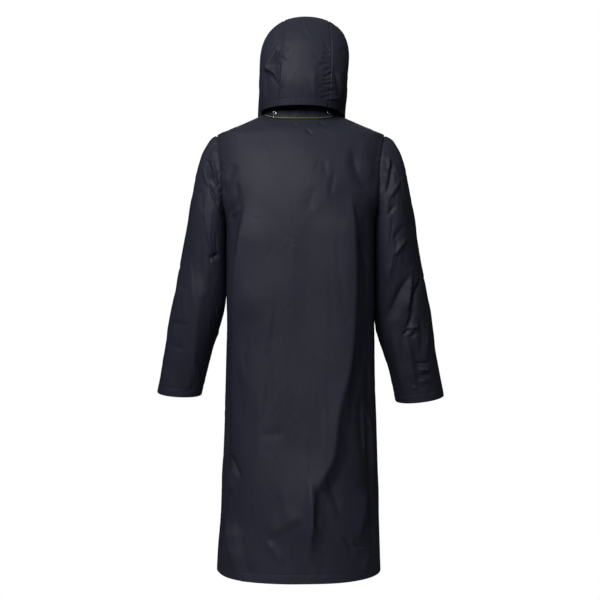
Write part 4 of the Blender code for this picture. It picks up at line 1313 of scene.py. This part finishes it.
class RAINCOAT_OT_fronts(bpy.types.Operator):
    """Builds the two fronts, the left one lapped over the right one"""

    bl_idname = "raincoat.fronts"
    bl_label = "Fronts"

    def execute(self, context):
        grid, hem_line = sizes().grid / MM, sizes().hem / MM
        rows = panel_rows(ARMHOLE_DEPTH_FRONT, -NECK_FRONT_DROP, FRONT_YOKE_LEVEL, 1.4 * grid, hem_line)
        angle, edge, centre, yoke, in_armhole = rows
        lap = np.degrees(np.arcsin(LAP / torso("front", centre)))
        from_edge = spread(FRONT_WIDTH, 1.5 * grid, start_lines=(FRONT_STITCH, FLAP_STITCH))[::-1][None, :]
        lapped = lap * (from_edge / LAP - 1.0)
        wide = lap + (angle - lap) * (from_edge - 2.0 * LAP) / (FRONT_WIDTH - 2.0 * LAP)
        from_centre = np.where(from_edge <= 2.0 * LAP, lapped, wide)
        heights = row_heights(np.abs(from_centre / angle), edge, centre, yoke, NECK_FRONT_ROUND)
        for side, sign in (("left", 1.0), ("right", -1.0)):
            turn = sign * (180.0 - from_centre)
            points, normals = torso_point(turn, heights), torso_normal(turn, heights)
            across, down = distances(points, 1), distances(points, 0)
            to_hem, to_front = down[-1:] - down, across[:, -1:] - across
            seed = CREASE_SEEDS["front_" + side]
            rise = body_rise(points, normals, across, down, [across], in_armhole, seed, hem_line)
            rise += stitch_groove(to_front, FRONT_STITCH, 0.4)
            stitched = (FRONT_STITCH,)
            if side == "left":
                stitched = (FRONT_STITCH, FLAP_STITCH)
                rise += stitch_groove(to_front, FLAP_STITCH)
                rise += pucker(np.abs(to_front - FLAP_STITCH), down, pitch=17.0, height=0.5, reach=9.0)
            rise += sign * LAP_LIFT * lap_ramp(sign * points[..., 0])
            hemmed = np.maximum(hemmed_share(to_hem, hem_line), hemmed_share(to_front, FLAP_STITCH))
            free = np.minimum(to_hem, to_front)
            grids = shaped(points, normals, rise, free, hemmed, layers=0.75, rounding=0.33)
            outer, outward_way = grids[:2]
            panel = cloth_wall("front_panel_" + side, *grids, pattern_of(across, down), "front_" + side)
            line = nearest(to_hem[:, to_hem.shape[1] // 2], hem_line)
            lines = [(outer[line], outward_way[line])]
            for place in stitched:
                column = nearest(from_edge[0], place)
                lines.append((outer[3:-2, column], outward_way[3:-2, column]))
            stitches = sewn(f"front_{side}_stitches", lines)
        return {"FINISHED"}


SLEEVE_LENGTH = 660.0
SLEEVE_ROUND = 470.0
SLEEVE_SAMPLES = 240
SLEEVE_FINER = 0.95  # the sleeves' grid is a little finer than the body's
HEAD_PUCKER_SEEDS = {"left": 0.8, "right": 2.0}


class RAINCOAT_OT_sleeves(bpy.types.Operator):
    """Builds the two set-in sleeves with their turned cuffs"""

    bl_idname = "raincoat.sleeves"
    bl_label = "Sleeves"

    def execute(self, context):
        cuff_line = sizes().hem / MM
        step = SLEEVE_FINER * sizes().grid / MM
        half = spread(0.5 * SLEEVE_ROUND, step) * 2.0 / SLEEVE_ROUND
        # The seam under the arm lies at 180 degrees, and the grid itself closes on the outer line.
        around = 180.0 * np.concatenate([half, 1.0 + half[1:]])[None, :]
        dense = np.linspace(0.0, 1.0, SLEEVE_SAMPLES)
        places = spread(SLEEVE_LENGTH, step, end_lines=(cuff_line,))
        for side, sign in (("left", 1.0), ("right", -1.0)):
            run = distances(sleeve_point(side, dense[:, None], around), 0)
            at = fitted(places, SLEEVE_LENGTH, run[-1])
            along = np.stack([np.interp(at[:, i], run[:, i], dense) for i in range(run.shape[1])], -1)
            points = sleeve_point(side, along, around)
            middle = sleeve_axes(side, along)[0]
            normals = turned_out(grid_normals(points, closed=True), points - middle)
            body_normals = torso_normal(*armhole_ring(around))
            if sign < 0:
                flip = np.array([-1.0, 1.0, 1.0])
                points, normals, body_normals = points * flip, normals * flip, body_normals * flip
            turned, down = distances(points, 1), distances(points, 0)
            to_cuff = down[-1:] - down
            to_seam = np.abs(turned - turned[:, [around.shape[1] // 2]])
            rise = fold_rise(SLEEVE_FOLDS, points, normals)
            rise += swell(points, SWELL_SEEDS["sleeves"], 0.9)
            seed = CREASE_SEEDS["sleeve_" + side]
            outer_line = np.minimum(turned, turned[:, -1:] - turned)
            calm = smooth_step(to_cuff / CALM_ENDS) * smooth_step(outer_line / 20.0)
            rise += calm * scatter(SLEEVE_DRAPE, turned, down, seed)
            rise += calm * scatter(SLEEVE_CREASES, turned, down, seed + 1)
            rise += calm * np.exp(-down / 26.0) * scatter(ARMHOLE_GATHERS, turned, down, seed + 2)
            rise *= smooth_step(down / 7.0)
            rise = pressed(rise, points, normals, -sign, 0.9)
            head = pucker(down, turned, pitch=14.0, height=1.7, reach=17.0, seed=HEAD_PUCKER_SEEDS[side])
            rise += head * smooth_step(down / 4.0)
            rise += seam_rise(to_seam, 1.4)
            rise += pucker(to_seam, down, pitch=16.0, height=0.5, reach=10.0, seed=1.7)
            hem = {"step": 0.25, "pitch": 12.0, "height": 0.7, "reach": 12.0, "seed": 0.2}
            rise += hem_rise(to_cuff, turned, cuff_line, **hem)
            at_seam = np.exp(-((down / 3.0) ** 2))[..., None]
            seam_way = unit(normals * (1.0 - at_seam) + body_normals * at_seam)
            shift = seam_rise(down, 4.0, 2.6)[..., None] * seam_way
            hemmed = hemmed_share(to_cuff, cuff_line)
            grids = shaped(points, normals, rise, to_cuff, hemmed, shift=shift, closed=True)
            outer, outward_way = grids[:2]
            pattern = np.stack([turned, down], -1)
            panel = cloth_wall("sleeve_cloth_" + side, *grids, pattern, "sleeve_" + side, closed=True)
            line = nearest(places, SLEEVE_LENGTH - cuff_line)
            stitches = sewn(f"cuff_{side}_stitches", [(outer[line], outward_way[line])])
        return {"FINISHED"}


COLLAR_STITCH = 5.0  # from each long edge of the stand to its stitches
COLLAR_COLUMNS = 190
COLLAR_STEP = 3.6


class RAINCOAT_OT_collar(bpy.types.Operator):
    """Builds the collar stand that the hood snaps to"""

    bl_idname = "raincoat.collar"
    bl_label = "Collar stand"

    def execute(self, context):
        lap = math.degrees(math.asin(LAP / float(torso("front", np.array(-NECK_FRONT_DROP)))))
        angle = np.linspace(-180.0 - lap, 180.0 + lap, COLLAR_COLUMNS)[None, :]
        foot_line = COLLAR_TURN + COLLAR_STITCH
        drop = spread(COLLAR_HEIGHT + COLLAR_TURN, COLLAR_STEP, (COLLAR_STITCH,), (foot_line,))
        share = 1.0 - drop[:, None] / COLLAR_HEIGHT
        angle, share = np.broadcast_arrays(angle, share)
        points, normals = collar_point(angle, share), collar_normal(angle, share)
        across, down = distances(points, 1), distances(points, 0)
        to_seam = down[-1:] - down - COLLAR_TURN
        lift = np.where(angle > 0, lap_ramp(points[..., 0]), -lap_ramp(-points[..., 0]))
        rise = lift * (np.abs(angle) > 90) * LAP_LIFT
        rise = rise + fold_rise(COLLAR_FOLDS, points, normals) + swell(points, SWELL_SEEDS["collar"], 0.5)
        rise += stitch_groove(down, COLLAR_STITCH, 0.4) + stitch_groove(to_seam, COLLAR_STITCH, 0.4)
        rise += pucker(down, across, pitch=11.0, height=0.4, reach=10.0)
        rise += pucker(to_seam, across, pitch=12.0, height=0.5, reach=9.0, seed=1.2)
        free = np.minimum(np.minimum(across, across[:, -1:] - across), down)
        grids = shaped(points, normals, rise, free, 1.0, layers=0.8, rounding=0.336)
        outer, outward_way = grids[:2]
        pattern = np.stack([across, down], -1)
        panel = cloth_wall("collar_stand_cloth", *grids, pattern, "collar_stand", "collar_cloth")
        rows = [nearest(distance[:, COLLAR_COLUMNS // 2], COLLAR_STITCH) for distance in (down, to_seam)]
        lines = [(outer[row, 2:-2], outward_way[row, 2:-2]) for row in rows]
        stitches = sewn("collar_stitches", lines)
        return {"FINISHED"}


HOOD_INSIDE = np.array([0.0, 0.0, 60.0])  # a place that every panel of the hood looks away from


class RAINCOAT_OT_hood(bpy.types.Operator):
    """Builds the hood from its centre strip and two sides"""

    bl_idname = "raincoat.hood"
    bl_label = "Hood"

    def execute(self, context):
        hem_line = sizes().hood_hem / MM
        on_both = ["hood_centre_panel", "collar_stand_cloth"]
        for part, node, name, flat, area, rests_on in (
            ("right", "hood_side_right", "hood_side_panel_right", (0.33, 0.43), 0.067, on_both),
            ("centre", "hood_centre", "hood_centre_panel", (0.13, 0.49), 0.060, ["collar_stand_cloth"]),
            ("left", "hood_side_left", "hood_side_panel_left", (0.33, 0.43), 0.067, on_both),
        ):
            points = hood_panel(part, HOOD_GRID, hem_line)
            normals = turned_out(grid_normals(points), points - HOOD_INSIDE)
            across, down = distances(points, 1), distances(points, 0)
            to_left = across[:, -1:] - across
            to_edge = down[-1:] - down
            seams = {"right": [to_left], "centre": [across, to_left], "left": [across]}[part]
            rise = fold_rise(HOOD_FOLDS, points, normals)
            rise += swell(points, SWELL_SEEDS["hood"], 0.5)
            calm = smooth_step(np.minimum(down, to_edge) / 24.0)
            for distance in seams:
                calm = calm * smooth_step(distance / 10.0)
            rise += calm * scatter(HOOD_DRAPE, across, down, CREASE_SEEDS["hood_" + part])
            for distance in seams:
                rise += seam_rise(distance, 1.3) + stitch_groove(distance, HOOD_STITCH, 0.4)
                rise += pucker(distance, down, pitch=13.0, height=0.45, reach=9.0, seed=0.6)
            hem = {"step": 0.15, "pitch": 12.0, "height": 0.6, "reach": 10.0, "seed": 0.9, "depth": 0.3}
            for distance in (down, to_edge):
                rise += hem_rise(distance, across, hem_line, **hem)
            free = np.minimum(down, to_edge)
            grids = shaped(points, normals, rise, free, hemmed_share(free, hem_line))
            outer, outward_way = grids[:2]
            panel = cloth_wall(name, *grids, np.stack([across, down], -1), node)
            rows = [nearest(distance[:, outer.shape[1] // 2], hem_line) for distance in (down, to_edge)]
            lines = [(outer[row], outward_way[row]) for row in rows]
            for distance in seams:
                column = nearest(distance[outer.shape[0] // 2], HOOD_STITCH)
                lines.append((outer[2:-2, column], outward_way[2:-2, column]))
            stitches = sewn(node + "_stitches", lines)
        return {"FINISHED"}


def piping_centre(angle):
    """The cord lies in the corner between the collar and the body."""
    normal = torso_normal(angle, neck_height(angle))
    out = outward(angle)
    facing = np.sum(normal * out, axis=-1)
    lift = PIPING_GAP + (1.0 - facing) / normal[..., 2]
    up = np.array([0.0, 0.0, 1.0])
    return neck_point(angle) + (PIPING_RADIUS + PIPING_GAP) * (out + up * lift[..., None])


class RAINCOAT_OT_piping(bpy.types.Operator):
    """Builds the piping cord in the collar seam across the back neck"""

    bl_idname = "raincoat.piping"
    bl_label = "Piping"

    def execute(self, context):
        angle = np.linspace(*PIPING_ENDS, 160)
        route = piping_centre(angle)
        way = unit(np.gradient(route, axis=0))
        side = unit(np.cross(way, np.array([0.0, 0.0, 1.0])))
        up = np.cross(side, way)
        turn = np.linspace(0.0, 2.0 * math.pi, 17)
        run = distances(route[:, None], 0)[:, 0]
        ends = np.minimum(run, run[-1] - run)
        radius = PIPING_SLIM * (PIPING_RADIUS - edge_round(ends, 0.8 * PIPING_RADIUS))[:, None, None]
        radius = radius * (1.0 + 0.05 * np.sin(run / 2.1) * np.sin(run / 7.3))[:, None, None]
        ring = np.cos(turn)[None, :, None] * side[:, None] + np.sin(turn)[None, :, None] * up[:, None]
        mesh = bmesh.new()
        rows, columns = len(route) - 1, len(turn) - 1
        bmesh.ops.create_grid(mesh, x_segments=columns, y_segments=rows, size=0.5)
        points = (route[:, None] + ring * radius) * MM
        cloth = mesh.loops.layers.uv.new("cloth")
        for face in mesh.faces:
            for loop in face.loops:
                row, column = (0.5 - loop.vert.co.y) * rows, (loop.vert.co.x + 0.5) * columns
                loop[cloth].uv = (run[round(row)] * MM, PIPING_RADIUS * turn[round(column)] * MM)
        for vertex in mesh.verts:
            vertex.co = points[round((0.5 - vertex.co.y) * rows), round((vertex.co.x + 0.5) * columns)]
        bmesh.ops.remove_doubles(mesh, verts=mesh.verts, dist=1e-7)
        bmesh.ops.holes_fill(mesh, edges=mesh.edges, sides=0)
        finish_piece("neck_piping_cord", mesh, (piping_material(),), "neck_piping")
        return {"FINISHED"}


CAP_PROFILE = (  # radius and height of a stamped cap, as shares of its own
    (0.0, 0.80), (0.16, 0.82), (0.34, 0.92), (0.46, 1.0), (0.60, 0.98), (0.74, 0.84), (0.82, 0.60),
    (0.86, 0.46), (0.90, 0.46), (0.95, 0.50), (0.99, 0.40), (1.0, 0.22), (0.97, 0.06), (0.90, 0.0),
    (0.0, 0.0),
)
STUD_PROFILE = (
    (0.0, 1.0), (0.22, 0.99), (0.42, 0.92), (0.54, 0.78), (0.58, 0.62), (0.66, 0.52), (0.84, 0.50),
    (0.95, 0.42), (1.0, 0.24), (0.96, 0.06), (0.88, 0.0), (0.0, 0.0),
)
SPIN_STEPS = 32


CAP = (CAP_PROFILE, CAP_RADIUS, CAP_DEPTH)
POST = (STUD_PROFILE, STUD_RADIUS, STUD_DEPTH)


def turned_stud(name, node, shape, place, normal):
    """A round stud: its profile spun about its axis, and set on the cloth."""
    profile, radius, depth = shape
    mesh = bmesh.new()
    corners = [mesh.verts.new((r * radius * MM, 0.0, h * depth * MM)) for r, h in profile]
    edges = [mesh.edges.new(pair) for pair in zip(corners, corners[1:])]
    spun = {"geom": corners + edges, "cent": (0, 0, 0), "axis": (0, 0, 1), "angle": 2 * math.pi}
    bmesh.ops.spin(mesh, **spun, steps=SPIN_STEPS, use_merge=True)
    bmesh.ops.remove_doubles(mesh, verts=mesh.verts, dist=1e-7)
    bmesh.ops.recalc_face_normals(mesh, faces=mesh.faces)
    turn = Vector(normal).to_track_quat("Z", "Y").to_matrix().to_4x4()
    bmesh.ops.transform(mesh, verts=mesh.verts, matrix=Matrix.Translation(Vector(place * MM)) @ turn)
    return finish_piece(name, mesh, (stud_material(),), node)


class RAINCOAT_OT_studs(bpy.types.Operator):
    """Builds the press studs of the hood, the collar and the fronts"""

    bl_idname = "raincoat.studs"
    bl_label = "Press studs"

    def execute(self, context):
        for side, angle in CAP_ANGLES.items():
            at, share = np.array(angle), np.array(CAP_SHARE)
            normal = collar_normal(at, share)
            place = collar_point(at, share, COLLAR_LIFT) + CAP_BEDDING * normal
            turned_stud("cap_hood_" + side, "snap_hood_" + side, CAP, place, normal)
            way = unit(outward(at) + torso_normal(at, neck_height(at)))
            place = piping_centre(at) + way * STUD_SEAT
            turned_stud("post_neck_" + side, "stud_neck_" + side, POST, place, way)
        for number in range(1, FRONT_SNAPS + 1):
            at, height = np.array(180.0), np.array(FRONT_SNAP_TOP - FRONT_SNAP_PITCH * (number - 1))
            normal = torso_normal(at, height)
            place = torso_point(at, height) + normal * LAP_LIFT
            turned_stud(f"cap_front_{number}", f"snap_front_{number}", CAP, place, normal)
        at, share = np.array(180.0), np.array(0.5)
        normal = collar_normal(at, share)
        place = collar_point(at, share, COLLAR_LIFT) + normal * LAP_LIFT
        turned_stud("cap_collar", "snap_collar", CAP, place, normal)
        return {"FINISHED"}


# ---------------------------------------------------------------- studio

FLOOR_LEVEL = -1.52
CAMERA_PLACE = (0.002, 3.300, -0.5145)
LENS = 72.0
LIGHTS = (  # name, place, aimed at, size, power
    ("key_softbox", (1.05, 2.45, 1.15), (0.0, 0.0, 0.12), (2.2, 1.6), 66.0),
    ("fill_softbox", (-2.6, 2.2, 0.2), (0.0, 0.0, -0.5), (1.6, 2.0), 1.0),
    ("front_softbox", (0.0, -3.4, 0.6), (0.0, 0.0, -0.5), (1.4, 1.4), 30.0),
)
WALL_GLOW = 0.03
CEILING_GLOW = 0.3
CEILING_EDGE = (0.3, 0.95)  # upward part of the direction where the ceiling light starts and is full
FLOOR_RADIUS = 0.62
FLOOR_MIDDLE = 0.1


class RAINCOAT_OT_stage(bpy.types.Operator):
    """Sets the pale floor, the soft lights and the camera"""

    bl_idname = "raincoat.stage"
    bl_label = "Studio"

    def execute(self, context):
        scene = context.scene
        mesh = bmesh.new()
        bmesh.ops.create_circle(mesh, cap_ends=True, segments=128, radius=FLOOR_RADIUS)
        bmesh.ops.translate(mesh, verts=mesh.verts, vec=(0.0, FLOOR_MIDDLE, FLOOR_LEVEL))
        data = bpy.data.meshes.new("studio_floor")
        mesh.to_mesh(data)
        mesh.free()
        data.materials.append(floor_material())
        floor = bpy.data.objects.new("studio_floor", data)
        scene.collection.objects.link(floor)
        for name, place, aim, size, power in LIGHTS:
            lamp = bpy.data.lights.new(name, "AREA")
            lamp.shape = "RECTANGLE"
            lamp.size, lamp.size_y = size
            lamp.energy = power
            thing = bpy.data.objects.new(name, lamp)
            thing.location = place
            thing.rotation_euler = (Vector(aim) - Vector(place)).to_track_quat("-Z", "Y").to_euler()
            scene.collection.objects.link(thing)
        world = bpy.data.worlds.new("white_studio")
        world.use_nodes = True
        scene.world = world
        tree = world.node_tree
        sky = tree.nodes["Background"]
        # The studio looks white, but most of what lights the coat comes from the ceiling and the softboxes.
        way = add_node(tree, "ShaderNodeTexCoord").outputs["Generated"]
        height = add_node(tree, "ShaderNodeSeparateXYZ", {0: way}).outputs["Z"]
        glow = {0: height, 1: CEILING_EDGE[0], 2: CEILING_EDGE[1], 3: WALL_GLOW, 4: CEILING_GLOW}
        share = add_node(tree, "ShaderNodeMapRange", glow).outputs[0]
        seen = add_node(tree, "ShaderNodeLightPath").outputs["Is Camera Ray"]
        strength = add_node(tree, "ShaderNodeMix", {"Factor": seen, 2: share, 3: 1.0}).outputs[0]
        tree.links.new(strength, sky.inputs["Strength"])
        sky.inputs["Color"].default_value = (1.0, 1.0, 1.0, 1.0)
        camera_data = bpy.data.cameras.new("camera")
        camera_data.lens = LENS
        camera_data.sensor_width = 36.0
        camera_data.clip_end = 100.0
        camera = bpy.data.objects.new("camera", camera_data)
        camera.location = CAMERA_PLACE
        camera.rotation_euler = (math.radians(90.0), 0.0, math.radians(180.0))
        scene.collection.objects.link(camera)
        scene.camera = camera
        scene.view_settings.view_transform = "Standard"
        return {"FINISHED"}


# ---------------------------------------------------------------- add-on


STEPS = ("back", "fronts", "sleeves", "collar", "hood", "piping", "studs", "stage")


class RAINCOAT_PT_panel(bpy.types.Panel):
    """Lists the coat's sizes, its colours and the pieces to build"""

    bl_idname = "RAINCOAT_PT_panel"
    bl_label = "Raincoat"
    bl_space_type = "VIEW_3D"
    bl_region_type = "UI"
    bl_category = "Raincoat"

    def draw(self, context):
        for group in (context.scene.raincoat_sizes, context.scene.raincoat_colours):
            box = self.layout.box()
            for name in group.__annotations__:
                box.prop(group, name)
        for step in STEPS:
            self.layout.operator("raincoat." + step)


CLASSES = (
    RaincoatSizes,
    RaincoatColours,
    RAINCOAT_OT_back,
    RAINCOAT_OT_fronts,
    RAINCOAT_OT_sleeves,
    RAINCOAT_OT_collar,
    RAINCOAT_OT_hood,
    RAINCOAT_OT_piping,
    RAINCOAT_OT_studs,
    RAINCOAT_OT_stage,
    RAINCOAT_PT_panel,
)


def register():
    for kind in CLASSES:
        bpy.utils.register_class(kind)
    bpy.types.Scene.raincoat_sizes = bpy.props.PointerProperty(type=RaincoatSizes)
    bpy.types.Scene.raincoat_colours = bpy.props.PointerProperty(type=RaincoatColours)


def unregister():
    del bpy.types.Scene.raincoat_colours
    del bpy.types.Scene.raincoat_sizes
    for kind in reversed(CLASSES):
        bpy.utils.unregister_class(kind)


def main():
    register()
    for step in STEPS:
        getattr(bpy.ops.raincoat, step)()


if __name__ == "__main__":
    main()
